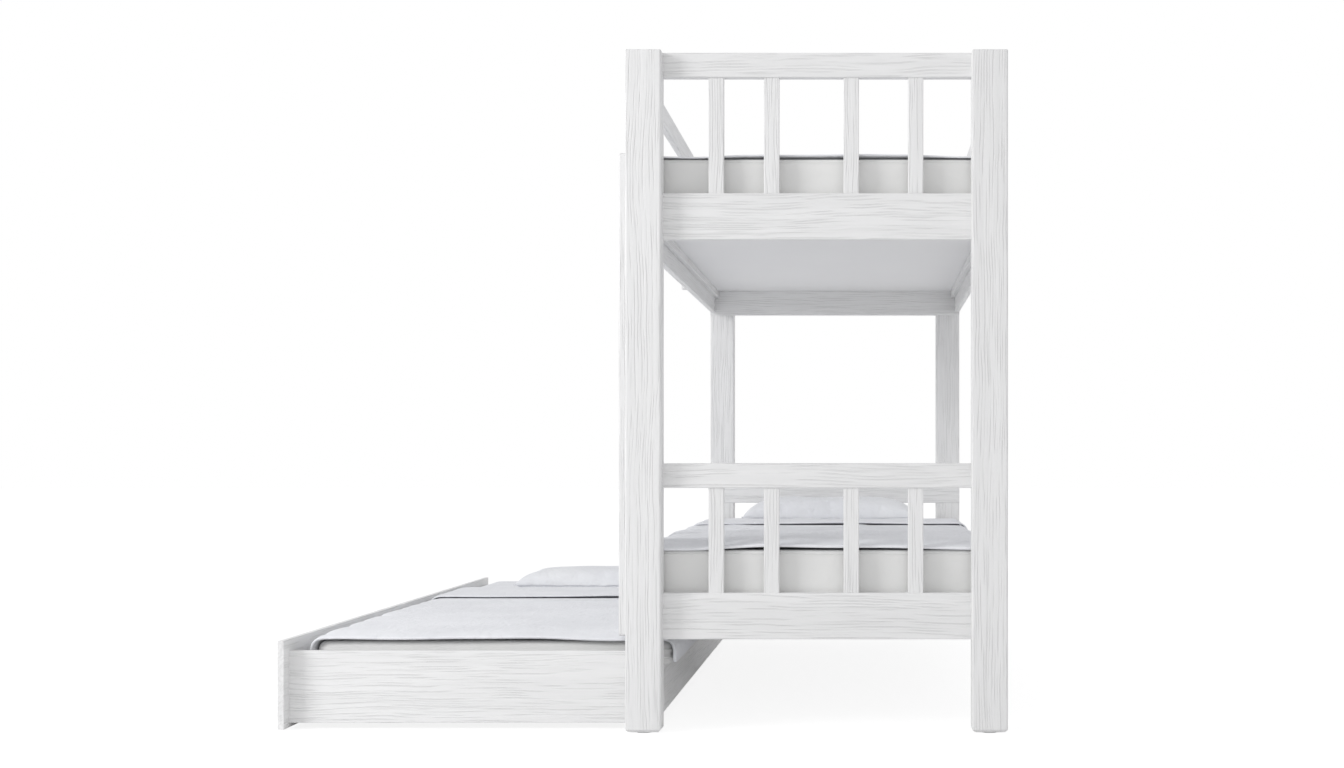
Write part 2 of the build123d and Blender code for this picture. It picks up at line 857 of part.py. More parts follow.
def trundle_duvet(x0, x1, y0, y1, z0):
    """The trundle's duvet, which hangs over both long edges with a wavy hem."""
    reach = duvet_side_gap + trundle_drape_thickness
    body = duvet_top(x0 - reach, x1 + reach, y0, y1, z0)
    hem = base_top_z + trundle_drape_end_gap
    a, b = y0 + duvet_corner_radius, y1 - duvet_corner_radius
    step = (b - a) / trundle_drape_waves
    waves = []
    for i in range(trundle_drape_waves):
        start = a + i * step
        middle = (start + step / 2, hem + trundle_drape_wave)
        waves.append(ThreePointArc((start, hem), middle, (start + step, hem)))
    outline = make_face(waves + [Line((b, hem), (a, hem))])
    scallops = lengthwise(outline, x0 - 2 * reach, x1 + 2 * reach)
    joined = z0 + duvet_thickness / 2
    for x, out in ((x0, -1), (x1, 1)):
        drop = duvet_drop(x + out * duvet_side_gap, x + out * reach, a, b, hem, joined)
        body += drop - scallops
    return body


def pillow(x_middle, y0, z0, height):
    """A pillow lofted along its length: arched sections, low at the seams, with drawn-in sides."""
    start = x_middle - pillow_length / 2
    y_middle = y0 + pillow_width / 2
    sections = []
    for place, high, wide in zip(pillow_place_shares, pillow_height_shares, pillow_width_shares):
        half = pillow_width * wide / 2
        rise = pillow_seam_height + (height - pillow_seam_height) * high
        top = z0 + rise
        shoulder = z0 + rise / 2
        outline = make_face([
            Line((y_middle - half, z0), (y_middle + half, z0)),
            Line((y_middle + half, z0), (y_middle + half, z0 + pillow_seam_height / 2)),
            ThreePointArc(
                (y_middle + half, z0 + pillow_seam_height / 2),
                (y_middle, top),
                (y_middle - half, z0 + pillow_seam_height / 2),
            ),
            Line((y_middle - half, z0 + pillow_seam_height / 2), (y_middle - half, z0)),
        ])
        x = start + pillow_length * place
        sections.append(Plane(origin=(x, 0, 0), x_dir=(0, 1, 0), z_dir=(1, 0, 0)) * outline)
    return loft(sections)


# Everything is made here, node by node
bunk_bed_start = (frame_length - bunk_mattress_length) / 2
trundle_bed_start = (frame_length - trundle_mattress_length) / 2
ends = ("foot", "head")
sides = ((-1, "left"), (1, "right"))
levels = (("upper", upper_rail_top), ("lower", lower_rail_top))

side_rails = {}
rail_cam_places = []
for level, rail_top in levels:
    for side, name in sides:
        z = rail_bottom(rail_top)
        side_rails[f"side_rail_{level}_{name}"] = (side, z)
        y_head = frame_length - board_inner_y
        rail_cam_places += rail_cams(side, z, rail_cam_heights, board_inner_y, y_head)
for side, y0, y1, z, height in guard_boards.values():
    y_foot = y0 if side > 0 else None
    rail_cam_places += rail_cams(side, z, (height / 2,), y_foot, y1)

cam_holes = [cam_hole(*place) for place in rail_cam_places]
screw_places = []
for _, rail_top in levels:
    for side, _ in sides:
        screw_places += ledger_screw_places(side, rail_top)
battens = [(side, y0) for side, _ in sides for y0 in batten_starts()]
for side, y0 in battens:
    screw_places += batten_screw_places(side, y0)
screw_holes = screws(screw_places, frame_screw_length, screw_fit)
bolt_holes = [ladder_bolt_hole(place) for place in ladder_bolt_places()]

nodes = {}
for side, name in sides:
    for end in ends:
        nodes[f"post_{end}_{name}"] = cut(post(side, end), cam_holes + [glide_hole(side, end)])
for end in ends:
    holes = dowel_holes(end) + cam_holes
    nodes[f"{end}_upper_top_rail"] = cut(end_board(end, upper_top_rail_z, top_rail_height), holes)
    nodes[f"{end}_upper_wide_rail"] = cut(end_board(end, upper_wide_rail_z, wide_rail_height), holes)
    nodes[f"{end}_lower_wide_rail"] = cut(end_board(end, lower_wide_rail_z, wide_rail_height), holes)
    row = slat_row(end, upper_rail_top, upper_top_rail_z)
    nodes[f"{end}_upper_slats"] = [cut(slat, dowel_holes(end)) for slat in row]
nodes["foot_lower_top_rail"] = cut(
    end_board("foot", lower_top_rail_z, top_rail_height), dowel_holes("foot")
)
nodes["head_lower_headboard"] = end_board("head", headboard_z, headboard_height)
row = slat_row("foot", lower_rail_top, lower_top_rail_z)
nodes["foot_lower_slats"] = [cut(slat, dowel_holes("foot")) for slat in row]
nodes["slat_dowels"] = [dowel for end, z in slat_joints for dowel in slat_dowels(end, z)]
nodes["floor_glides"] = [floor_glide(side, end) for side, _ in sides for end in ends]

for name, (side, z) in side_rails.items():
    y1 = frame_length - board_inner_y
    rail = side_board(side, board_inner_y, y1, z, side_rail_height, side_rail_edge_radius)
    nodes[name] = cut(rail, cam_holes + screw_holes + bolt_holes)
for level, rail_top in levels:
    ledgers = [cut(ledger(side, rail_top), screw_holes) for side, _ in sides]
    nodes[f"platform_ledgers_{level}"] = ledgers
    nodes[f"platform_{level}"] = platform(rail_top)
for name, (side, y0, y1, z, height) in guard_boards.items():
    guard = side_board(side, y0, y1, z, height, guard_edge_radius)
    nodes[name] = cut(guard, cam_holes + screw_holes)
nodes["guard_battens"] = [cut(guard_batten(side, y0), screw_holes) for side, y0 in battens]
fittings = [solid for place in rail_cam_places for solid in cam_fitting(*place)]
nodes["cam_fittings"] = fittings
nodes["wood_screws"] = screws(screw_places, frame_screw_length)

mortises = [rung(z, rung_fit) for z in rung_levels()]
stile_starts = (ladder_start, ladder_start + ladder_width - stile_width)
for name, y0 in zip(("foot", "inner"), stile_starts):
    nodes[f"ladder_stile_{name}"] = cut(stile(y0), mortises + bolt_holes)
nodes["ladder_rungs"] = [rung(z) for z in rung_levels()]
nodes["ladder_bolts"] = [solid for place in ladder_bolt_places() for solid in ladder_bolt(place)]

trundle_cam_places = trundle_cams()
trundle_cam_holes = [cam_hole(*place) for place in trundle_cam_places]
trundle_screw_places = cleat_screw_places(panel_inner_x, 1)
trundle_screw_places += cleat_screw_places(box_rear_inner_x, -1)
trundle_screw_places += base_screw_places() + castor_screw_places()
trundle_screw_holes = screws(trundle_screw_places, trundle_screw_length, screw_fit)
trundle_holes = trundle_cam_holes + trundle_screw_holes
nodes["trundle_front_panel"] = cut(trundle_front_panel(), trundle_holes)
nodes["trundle_foot_board"] = cut(trundle_end_board("foot"), trundle_cam_holes)
nodes["trundle_head_board"] = cut(trundle_end_board("head"), trundle_cam_holes)
nodes["trundle_rear_board"] = cut(trundle_rear_board(), trundle_holes)
nodes["trundle_base"] = cut(trundle_base(), trundle_screw_holes)
cross_pieces = [piece for y in bearer_places() for piece in bearer(y)]
nodes["trundle_bearers"] = [cut(piece, trundle_screw_holes) for piece in cross_pieces]
nodes["trundle_cleats"] = [
    cut(cleat(panel_inner_x, 1), trundle_screw_holes),
    cut(cleat(box_rear_inner_x, -1), trundle_screw_holes),
]
trundle_fittings = [solid for place in trundle_cam_places for solid in cam_fitting(*place)]
nodes["trundle_cam_fittings"] = trundle_fittings
nodes["trundle_screws"] = screws(trundle_screw_places, trundle_screw_length)
nodes["castor_forks"] = [cut(castor_fork(c), trundle_screw_holes) for c in castor_centres()]
nodes["castor_axles"] = [castor_axle(c) for c in castor_centres()]
wheel_names = ("foot_front", "foot_rear", "head_front", "head_rear")
for name, centre in zip(wheel_names, castor_centres()):
    nodes[f"castor_wheel_{name}"] = castor_wheel(centre)

bunk_beds = {
    "upper": (upper_rail_top - platform_drop, upper_mattress_height),
    "lower": (lower_rail_top - platform_drop, lower_mattress_height),
}
for level, (z, height) in bunk_beds.items():
    x0 = -mattress_width / 2
    nodes[f"mattress_{level}"] = mattress(x0, bunk_bed_start, bunk_mattress_length, z, height)
    nodes[f"duvet_{level}"] = bunk_duvet(z + height)
    top = z + height + duvet_thickness
    nodes[f"pillow_{level}"] = pillow(-bunk_pillow_offset, pillow_start, top, pillow_height)

bed_x = box_rear_x + trundle_mattress_overhang - mattress_width
bed_end = trundle_bed_start + trundle_mattress_length
nodes["trundle_mattress"] = mattress(
    bed_x, trundle_bed_start, trundle_mattress_length, base_top_z, trundle_mattress_height
)
nodes["trundle_duvet"] = trundle_duvet(
    bed_x, bed_x + mattress_width, trundle_bed_start - duvet_foot_overhang, bed_end, trundle_bed_top
)
nodes["trundle_pillow"] = pillow(
    -half_width - trundle_pillow_rail_gap - pillow_length / 2,
    trundle_pillow_start,
    trundle_bed_top + duvet_thickness,
    trundle_pillow_height,
)

place = Pos(-origin_x, -origin_y, 0)
for name, made in nodes.items():
    solids = made if isinstance(made, list) else [made]
    children = [place * solid for group in solids for solid in group.solids()]
    shape = children[0] if len(children) == 1 else Compound(children=children)
    export_step(shape, f"parts/{name}.step")
print(len(nodes), "nodes, origin at", round(origin_x, 2), round(origin_y, 2))
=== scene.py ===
import math

import bpy
import numpy as np
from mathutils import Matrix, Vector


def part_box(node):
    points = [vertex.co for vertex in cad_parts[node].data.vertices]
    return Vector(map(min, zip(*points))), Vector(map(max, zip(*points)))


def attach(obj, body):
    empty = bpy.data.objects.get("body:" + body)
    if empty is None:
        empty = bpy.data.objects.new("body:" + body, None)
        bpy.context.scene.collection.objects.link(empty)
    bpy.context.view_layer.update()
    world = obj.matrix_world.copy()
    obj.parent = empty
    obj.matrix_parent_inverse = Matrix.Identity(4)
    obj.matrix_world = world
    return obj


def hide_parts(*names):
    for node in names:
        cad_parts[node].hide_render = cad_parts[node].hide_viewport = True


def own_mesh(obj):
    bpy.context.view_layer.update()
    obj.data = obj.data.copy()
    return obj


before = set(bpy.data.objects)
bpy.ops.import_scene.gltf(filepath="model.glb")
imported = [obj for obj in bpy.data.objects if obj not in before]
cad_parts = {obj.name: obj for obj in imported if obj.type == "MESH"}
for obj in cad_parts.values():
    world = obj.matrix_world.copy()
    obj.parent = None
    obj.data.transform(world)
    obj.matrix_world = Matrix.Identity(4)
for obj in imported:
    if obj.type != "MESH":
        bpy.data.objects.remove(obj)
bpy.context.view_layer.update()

# Bunk bed with a trundle that is rolled out to the left. Metres, +Z up, +Y from the foot end to the
# head end. The wooden and metal pieces keep their own meshes and get finishes. The bedding is made
# here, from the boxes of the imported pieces.


# Meshes

def quad_mesh(name, points, quads):
    """A smooth mesh from an array of points and an array of four corner numbers per face."""
    mesh = bpy.data.meshes.new(name)
    mesh.vertices.add(len(points))
    mesh.vertices.foreach_set("co", np.asarray(points, np.float32).ravel())
    mesh.loops.add(quads.size)
    mesh.loops.foreach_set("vertex_index", quads.astype(np.int32).ravel())
    mesh.polygons.add(len(quads))
    mesh.polygons.foreach_set("loop_start", np.arange(0, quads.size, 4, dtype=np.int32))
    mesh.polygons.foreach_set("use_smooth", np.ones(len(quads), bool))
    mesh.update(calc_edges=True)
    mesh.validate()
    piece = bpy.data.objects.new(name, mesh)
    bpy.context.scene.collection.objects.link(piece)
    return piece


def grid_quads(rows, columns):
    """The faces of a grid of points that is numbered row by row."""
    numbers = np.arange(rows * columns).reshape(rows, columns)
    corners = numbers[:-1, :-1], numbers[1:, :-1], numbers[1:, 1:], numbers[:-1, 1:]
    return np.stack(corners, -1).reshape(-1, 4)


def outline_numbers(rows, columns):
    """The numbers of a grid's outer points, once round."""
    numbers = np.arange(rows * columns).reshape(rows, columns)
    return np.concatenate([
        numbers[:, 0], numbers[-1, 1:], numbers[-2::-1, -1], numbers[0, -2:0:-1]
    ])


def shell(name, upper, lower, rings):
    """A closed skin: two grids of points of one size, joined round their outlines by rings.

    The rings run from the upper grid's outline to the lower grid's, each with one point for each
    outline point.
    """
    rows, columns = upper.shape[:2]
    outline = outline_numbers(rows, columns)
    faces = grid_quads(rows, columns)
    points = [upper.reshape(-1, 3), *rings, lower.reshape(-1, 3)]
    loops = [outline]
    start = rows * columns
    for _ in rings:
        loops.append(start + np.arange(len(outline)))
        start += len(outline)
    loops.append(start + outline)
    quads = [faces]
    for a, b in zip(loops, loops[1:]):
        quads.append(np.stack([np.roll(a, -1), a, b, np.roll(b, -1)], -1))
    quads.append(start + faces[:, ::-1])
    return quad_mesh(name, np.concatenate(points), np.concatenate(quads))


def sewn_shell(name, upper, lower):
    """Two grids of points that share their outline, as the two faces of a pillow case do."""
    rows, columns = upper.shape[:2]
    count = rows * columns
    inner = np.setdiff1d(np.arange(count), outline_numbers(rows, columns))
    numbers = np.arange(count)
    numbers[inner] = count + np.arange(len(inner))
    quads = grid_quads(rows, columns)
    points = np.concatenate([upper.reshape(-1, 3), lower.reshape(-1, 3)[inner]])
    return quad_mesh(name, points, np.concatenate([quads, numbers[quads][:, ::-1]]))


def places_of(piece):
    """The points of a piece as an array."""
    flat = np.empty(len(piece.data.vertices) * 3)
    piece.data.vertices.foreach_get("co", flat)
    return flat.reshape(-1, 3)


def set_places(piece, points):
    """Moves the points of a piece to the places in an array."""
    piece.data.vertices.foreach_set("co", np.asarray(points, float).ravel())
    piece.data.update()


def smooth_step(value, low, high):
    """0 below low, 1 above high, and an even S curve between them."""
    t = np.clip((value - low) / (high - low), 0, 1)
    return t * t * (3 - 2 * t)


def ripple(a, b, seed, wave, count=7):
    """An uneven, smooth height field from about -1 to 1: a sum of seeded sine waves.

    The waves run in all directions, and their lengths lie between 0.6 and 1.6 times the named wave.
    The sum is divided by the square root of their count and by its usual peak.
    """
    usual_peak = 1.6
    pick = np.random.default_rng(seed)
    total = np.zeros(np.broadcast(a, b).shape)
    for _ in range(count):
        heading = pick.uniform(0, math.pi)
        length = wave * pick.uniform(0.6, 1.6)
        phase = pick.uniform(0, 2 * math.pi)
        turn = a * math.cos(heading) + b * math.sin(heading)
        total += np.sin(2 * math.pi * turn / length + phase)
    return total / math.sqrt(count) / usual_peak


def crease(a, b, start, end, width):
    """A soft ridge of height 1 along the line between two points, that fades at both ends.

    Across the line it is a bell curve of the named width. Along it, it rises and falls like half a
    sine wave.
    """
    line = np.subtract(end, start)
    length = math.hypot(*line)
    ahead = ((a - start[0]) * line[0] + (b - start[1]) * line[1]) / length
    aside = ((a - start[0]) * -line[1] + (b - start[1]) * line[0]) / length
    along = np.sin(math.pi * np.clip(ahead / length, 0, 1))
    return along * np.exp(-((aside / width) ** 2))


def slack_folds(x, y, seed, count=18):
    """Creases from 16 to 34 mm wide that run slantwise from the sides of a bed towards its middle.

    Each has a seeded place, length, slant and height. Two of three are ridges, the others valleys.
    """
    pick = np.random.default_rng(seed)
    total = np.zeros(x.shape)
    for _ in range(count):
        side = pick.choice((-1.0, 1.0))
        start = side * pick.uniform(0.22, 0.46), y.min() + pick.uniform(0.02, 1.0)
        end = start[0] - side * pick.uniform(0.15, 0.5), start[1] + pick.uniform(-0.15, 0.42)
        height = pick.uniform(0.4, 1.0) * pick.choice((1.0, 1.0, -1.0))
        total += height * crease(x, y, start, end, pick.uniform(0.016, 0.034))
    return total


# Shader helpers

def link(tree, source, target):
    """Joins an output socket to an input socket, or sets the input where the source is a value."""
    if isinstance(source, bpy.types.NodeSocket):
        tree.links.new(source, target)
    else:
        target.default_value = source


def operation_node(tree, kind, operation, first, second):
    """A node that works out one operation on two inputs."""
    node = tree.nodes.new(kind)
    node.operation = operation
    link(tree, first, node.inputs[0])
    link(tree, second, node.inputs[1])
    return node.outputs[0]


def maths(tree, operation, first, second=0.0):
    """An operation on numbers. One that needs a single number takes no second."""
    return operation_node(tree, "ShaderNodeMath", operation, first, second)


def vector_maths(tree, operation, first, second):
    """An operation on vectors."""
    return operation_node(tree, "ShaderNodeVectorMath", operation, first, second)


def swing(tree, value, reach):
    """Carries a value from 0 to 1 onto one that swings round 0 over the named reach."""
    return maths(tree, "MULTIPLY", maths(tree, "SUBTRACT", value, 0.5), reach)


def noise(tree, vector, cells, detail=2.0, roughness=0.5):
    """Smooth noise from 0 to 1, with a number of cells per unit of its vector."""
    node = tree.nodes.new("ShaderNodeTexNoise")
    node.inputs["Scale"].default_value = cells
    node.inputs["Detail"].default_value = detail
    node.inputs["Roughness"].default_value = roughness
    link(tree, vector, node.inputs["Vector"])
    return node.outputs["Fac"]


def stretched_noise(tree, vector, cells, detail=1.0, roughness=0.5):
    """Smooth noise from 0 to 1, with its own number of cells per unit along each axis."""
    return noise(tree, vector_maths(tree, "MULTIPLY", vector, cells), 1.0, detail, roughness)


def spread(tree, value, low, high, out_low=0.0, out_high=1.0):
    """Carries a range of values onto another one along an S curve."""
    node = tree.nodes.new("ShaderNodeMapRange")
    node.interpolation_type = "SMOOTHSTEP"
    link(tree, value, node.inputs["Value"])
    node.inputs["From Min"].default_value = low
    node.inputs["From Max"].default_value = high
    node.inputs["To Min"].default_value = out_low
    node.inputs["To Max"].default_value = out_high
    return node.outputs["Result"]


def mix_colour(tree, factor, first, second):
    """The first colour where the factor is 0, the second where it is 1."""
    node = tree.nodes.new("ShaderNodeMix")
    node.data_type = "RGBA"
    link(tree, factor, node.inputs["Factor"])
    link(tree, first, node.inputs["A"])
    link(tree, second, node.inputs["B"])
    return node.outputs["Result"]


def split(tree, vector):
    """The three parts of a vector, named X, Y and Z."""
    node = tree.nodes.new("ShaderNodeSeparateXYZ")
    link(tree, vector, node.inputs[0])
    return node.outputs


def along_and_across(tree, along, across):
    """A vector with one value along X and another one along both Y and Z."""
    node = tree.nodes.new("ShaderNodeCombineXYZ")
    link(tree, along, node.inputs["X"])
    link(tree, across, node.inputs["Y"])
    link(tree, across, node.inputs["Z"])
    return node.outputs[0]


def new_group(name, inputs, outputs):
    """A shader node group with named sockets, and its two end nodes."""
    tree = bpy.data.node_groups.new(name, "ShaderNodeTree")
    for label, kind in inputs:
        tree.interface.new_socket(label, in_out="INPUT", socket_type=kind)
    for label, kind in outputs:
        tree.interface.new_socket(label, in_out="OUTPUT", socket_type=kind)
    return tree, tree.nodes.new("NodeGroupInput"), tree.nodes.new("NodeGroupOutput")


VALUE, VECTOR = "NodeSocketFloat", "NodeSocketVector"

# Brushed grain. Cells of noise are counted per metre along the grain, then twice across it.
BEND_CELLS, BEND_REACH = (1.9, 8.0, 8.0), 0.022  # slow bends of the grain
SWAY_CELLS, SWAY_REACH = (8.0, 26.0, 26.0), 0.0045  # short bends on top of them
PORE_CORE, PORE_EDGE, PORE_DARK = 0.12, 0.30, 0.6  # shares of a pore's cell, and its mask
PATCH_CELLS = 7.0  # patches with fewer pores
COMB_PITCH, COMB_DARK = 0.0070, 0.78  # from one combed line to the next, and their mask
DASH_CELLS = (6.5, 145.0, 145.0)
STREAK_CELLS = (1.6, 95.0, 95.0)
BAND_CELLS = (0.9, 20.0, 20.0)


def pore_layer(tree, place, length, width):
    """Long narrow pores: stretched cells, each with a spindle of dark round its own centre.

    The mask is 1 in the core of a pore and falls to 0 at its edge, both shares of its cell.
    """
    per_metre = along_and_across(
        tree, maths(tree, "DIVIDE", 1.0, length), maths(tree, "DIVIDE", 1.0, width)
    )
    cells = tree.nodes.new("ShaderNodeTexVoronoi")
    cells.inputs["Scale"].default_value = 1.0
    link(tree, vector_maths(tree, "MULTIPLY", place, per_metre), cells.inputs["Vector"])
    return spread(tree, cells.outputs["Distance"], PORE_CORE, PORE_EDGE, 1.0, 0.0)


def brushed_grain_group():
    """Open grain along X: combed lines, long narrow pores, fine streaks, and slow light bands.

    The combed lines are the crests of a sine wave across the grain, broken into dashes by noise
    that is stretched along it. All of it follows the bends of the grain.
    """
    tree, given, result = new_group(
        "brushed_grain",
        [("Place", VECTOR), ("Pore Width", VALUE), ("Pore Length", VALUE)],
        [("Pores", VALUE), ("Bands", VALUE), ("Height", VALUE)],
    )
    place = given.outputs["Place"]
    bend = swing(tree, stretched_noise(tree, place, BEND_CELLS), BEND_REACH)
    sway = swing(tree, stretched_noise(tree, place, SWAY_CELLS), SWAY_REACH)
    drift = along_and_across(tree, 0.0, maths(tree, "ADD", bend, sway))
    bent = vector_maths(tree, "ADD", place, drift)

    pores = pore_layer(tree, bent, given.outputs["Pore Length"], given.outputs["Pore Width"])
    patch = spread(tree, noise(tree, place, PATCH_CELLS, 1.0), 0.34, 0.56, 0.5, 1.0)
    pores = maths(tree, "MULTIPLY", maths(tree, "MULTIPLY", pores, patch), PORE_DARK)

    parts = split(tree, bent)
    across = maths(tree, "ADD", parts["Y"], parts["Z"])
    comb = maths(tree, "SINE", maths(tree, "MULTIPLY", across, 2 * math.pi / COMB_PITCH))
    lines = spread(tree, comb, 0.1, 0.95)
    dashes = spread(tree, stretched_noise(tree, bent, DASH_CELLS), 0.42, 0.62)
    combed = maths(tree, "MULTIPLY", maths(tree, "MULTIPLY", lines, dashes), COMB_DARK)
    dark = maths(tree, "MAXIMUM", pores, combed)

    streaks = stretched_noise(tree, bent, STREAK_CELLS, detail=2.0)
    bands = stretched_noise(tree, bent, BAND_CELLS, detail=2.0)
    half_streaks = maths(tree, "MULTIPLY", streaks, 0.5)
    tone = maths(tree, "ADD", maths(tree, "MULTIPLY", bands, 0.5), half_streaks)
    link(tree, dark, result.inputs["Pores"])
    link(tree, spread(tree, tone, 0.38, 0.62), result.inputs["Bands"])
    link(tree, maths(tree, "SUBTRACT", half_streaks, dark), result.inputs["Height"])
    return tree


LOOSE_CELLS = (16.0, 9.0, 16.0)  # of the noise whose middle line is the valley of a wrinkle
THREAD_HEIGHT = 0.02  # as a share of the depth of the cloth's relief


def soft_weave_group():
    """Cloth: fine crossed threads, small slack wrinkles, and a slow drift of tone."""
    tree, given, result = new_group(
        "soft_weave",
        [("Place", VECTOR), ("Thread", VALUE), ("Wrinkle", VALUE)],
        [("Tone", VALUE), ("Height", VALUE)],
    )
    place = given.outputs["Place"]
    parts = split(tree, place)
    turns = maths(tree, "DIVIDE", 2 * math.pi, given.outputs["Thread"])
    threads = [maths(tree, "SINE", maths(tree, "MULTIPLY", parts[axis], turns)) for axis in "XYZ"]
    woven = maths(tree, "ADD", threads[0], maths(tree, "ADD", threads[1], threads[2]))
    loose = stretched_noise(tree, place, LOOSE_CELLS, detail=3.0, roughness=0.55)
    folded = maths(tree, "ABSOLUTE", maths(tree, "SUBTRACT", loose, 0.5))
    wrinkles = maths(tree, "MULTIPLY", spread(tree, folded, 0.0, 0.16), given.outputs["Wrinkle"])
    height = maths(tree, "ADD", wrinkles, maths(tree, "MULTIPLY", woven, THREAD_HEIGHT))
    link(tree, noise(tree, place, 5.0), result.inputs["Tone"])
    link(tree, height, result.inputs["Height"])
    return tree


def group_node(tree, group, **values):
    """Places a shader group and sets its inputs, whose names have underscores for spaces here."""
    node = tree.nodes.new("ShaderNodeGroup")
    node.node_tree = group
    for label, value in values.items():
        link(tree, value, node.inputs[label.replace("_", " ").title()])
    return node.outputs


def bump(tree, height, depth):
    """A normal from a height field, whose values are multiplied by the depth."""
    node = tree.nodes.new("ShaderNodeBump")
    node.inputs["Strength"].default_value = 1.0
    node.inputs["Distance"].default_value = depth
    link(tree, height, node.inputs["Height"])
    return node.outputs["Normal"]


def new_material(name):
    """A material with its node tree and its shader."""
    material = bpy.data.materials.new(name)
    material.use_nodes = True
    tree = material.node_tree
    return material, tree, tree.nodes["Principled BSDF"]


def object_place(tree, turn=(0.0, 0.0, 0.0)):
    """The piece's own coordinates, turned so that a pattern along X runs another way."""
    coordinates = tree.nodes.new("ShaderNodeTexCoord")
    mapping = tree.nodes.new("ShaderNodeMapping")
    mapping.vector_type = "POINT"
    mapping.inputs["Rotation"].default_value = turn
    link(tree, coordinates.outputs["Object"], mapping.inputs["Vector"])
    return mapping.outputs["Vector"]


def tint(colour, share=1.0):
    """A colour darkened to a share of its light, with full alpha."""
    return tuple(value * share for value in colour) + (1.0,)


# Finishes

grain_group = brushed_grain_group()
weave_group = soft_weave_group()

QUARTER = math.pi / 2
GRAIN_TURNS = {"x": (0.0, 0.0, 0.0), "y": (0.0, 0.0, -QUARTER), "z": (0.0, QUARTER, 0.0)}
PAINT = (0.83, 0.83, 0.83)
PANEL_LIGHT, PANEL_DARK = (0.86, 0.86, 0.86), (0.82, 0.82, 0.83)
BEECH_LIGHT, BEECH_DARK = (0.62, 0.46, 0.30), (0.42, 0.29, 0.18)


def painted_wood(name, along):
    """White stained timber with brushed, open grain along one axis."""
    material, tree, shader = new_material(name)
    place = object_place(tree, GRAIN_TURNS[along])
    grain = group_node(tree, grain_group, place=place, pore_width=0.0060, pore_length=0.42)
    tone = mix_colour(tree, grain["Bands"], tint(PAINT, 0.955), tint(PAINT))
    factor = maths(tree, "MULTIPLY", grain["Pores"], 0.7)
    roughness = spread(tree, grain["Pores"], 0.0, 1.0, 0.46, 0.7)
    link(tree, mix_colour(tree, factor, tone, tint(PAINT, 0.86)), shader.inputs["Base Color"])
    link(tree, roughness, shader.inputs["Roughness"])
    link(tree, bump(tree, grain["Height"], 0.0010), shader.inputs["Normal"])
    shader.inputs["Specular IOR Level"].default_value = 0.35
    return material


def painted_panel(name):
    """A smooth painted panel with faint roller texture."""
    material, tree, shader = new_material(name)
    place = object_place(tree)
    colour = mix_colour(tree, noise(tree, place, 3.0), tint(PANEL_DARK), tint(PANEL_LIGHT))
    link(tree, colour, shader.inputs["Base Color"])
    link(tree, bump(tree, noise(tree, place, 420.0), 0.0002), shader.inputs["Normal"])
    shader.inputs["Roughness"].default_value = 0.55
    return material


def bare_beech(name):
    """Beech dowel stock."""
    material, tree, shader = new_material(name)
    place = object_place(tree, GRAIN_TURNS["z"])
    grain = group_node(tree, grain_group, place=place, pore_width=0.0008, pore_length=0.006)
    colour = mix_colour(tree, grain["Pores"], tint(BEECH_LIGHT), tint(BEECH_DARK))
    link(tree, colour, shader.inputs["Base Color"])
    shader.inputs["Roughness"].default_value = 0.6
    return material


def plated_metal(name, colour, roughness, scratch_cells):
    """Plated or cast metal with fine scratches and a cloudy sheen."""
    material, tree, shader = new_material(name)
    place = object_place(tree)
    drawn = vector_maths(tree, "MULTIPLY", place, (1.0, 9.0, 1.0))
    scratches = noise(tree, drawn, scratch_cells, 3.0)
    cloud = noise(tree, place, 160.0)
    worn = spread(tree, scratches, 0.2, 0.8, roughness - 0.08, roughness + 0.1)
    cloudy = mix_colour(tree, cloud, tint(colour, 0.86), tint(colour))
    link(tree, cloudy, shader.inputs["Base Color"])
    link(tree, worn, shader.inputs["Roughness"])
    link(tree, bump(tree, scratches, 0.00005), shader.inputs["Normal"])
    shader.inputs["Metallic"].default_value = 1.0
    return material


def moulded(name, colour, roughness):
    """Moulded plastic or rubber with a faint texture."""
    material, tree, shader = new_material(name)
    place = object_place(tree)
    cloudy = mix_colour(tree, noise(tree, place, 60.0), tint(colour, 0.9), tint(colour))
    link(tree, cloudy, shader.inputs["Base Color"])
    link(tree, bump(tree, noise(tree, place, 900.0), 0.00012), shader.inputs["Normal"])
    shader.inputs["Roughness"].default_value = roughness
    return material


def woven_cloth(name, light, dark, thread, wrinkle, depth, sheen):
    """Soft cloth with threads, slack wrinkles and a slow drift of tone."""
    material, tree, shader = new_material(name)
    weave = group_node(tree, weave_group, place=object_place(tree), thread=thread, wrinkle=wrinkle)
    tone = spread(tree, weave["Tone"], 0.3, 0.7)
    link(tree, mix_colour(tree, tone, tint(dark), tint(light)), shader.inputs["Base Color"])
    link(tree, bump(tree, weave["Height"], depth), shader.inputs["Normal"])
    shader.inputs["Roughness"].default_value = 0.92
    shader.inputs["Specular IOR Level"].default_value = 0.2
    shader.inputs["Sheen Weight"].default_value = sheen
    shader.inputs["Sheen Roughness"].default_value = 0.5
    return material


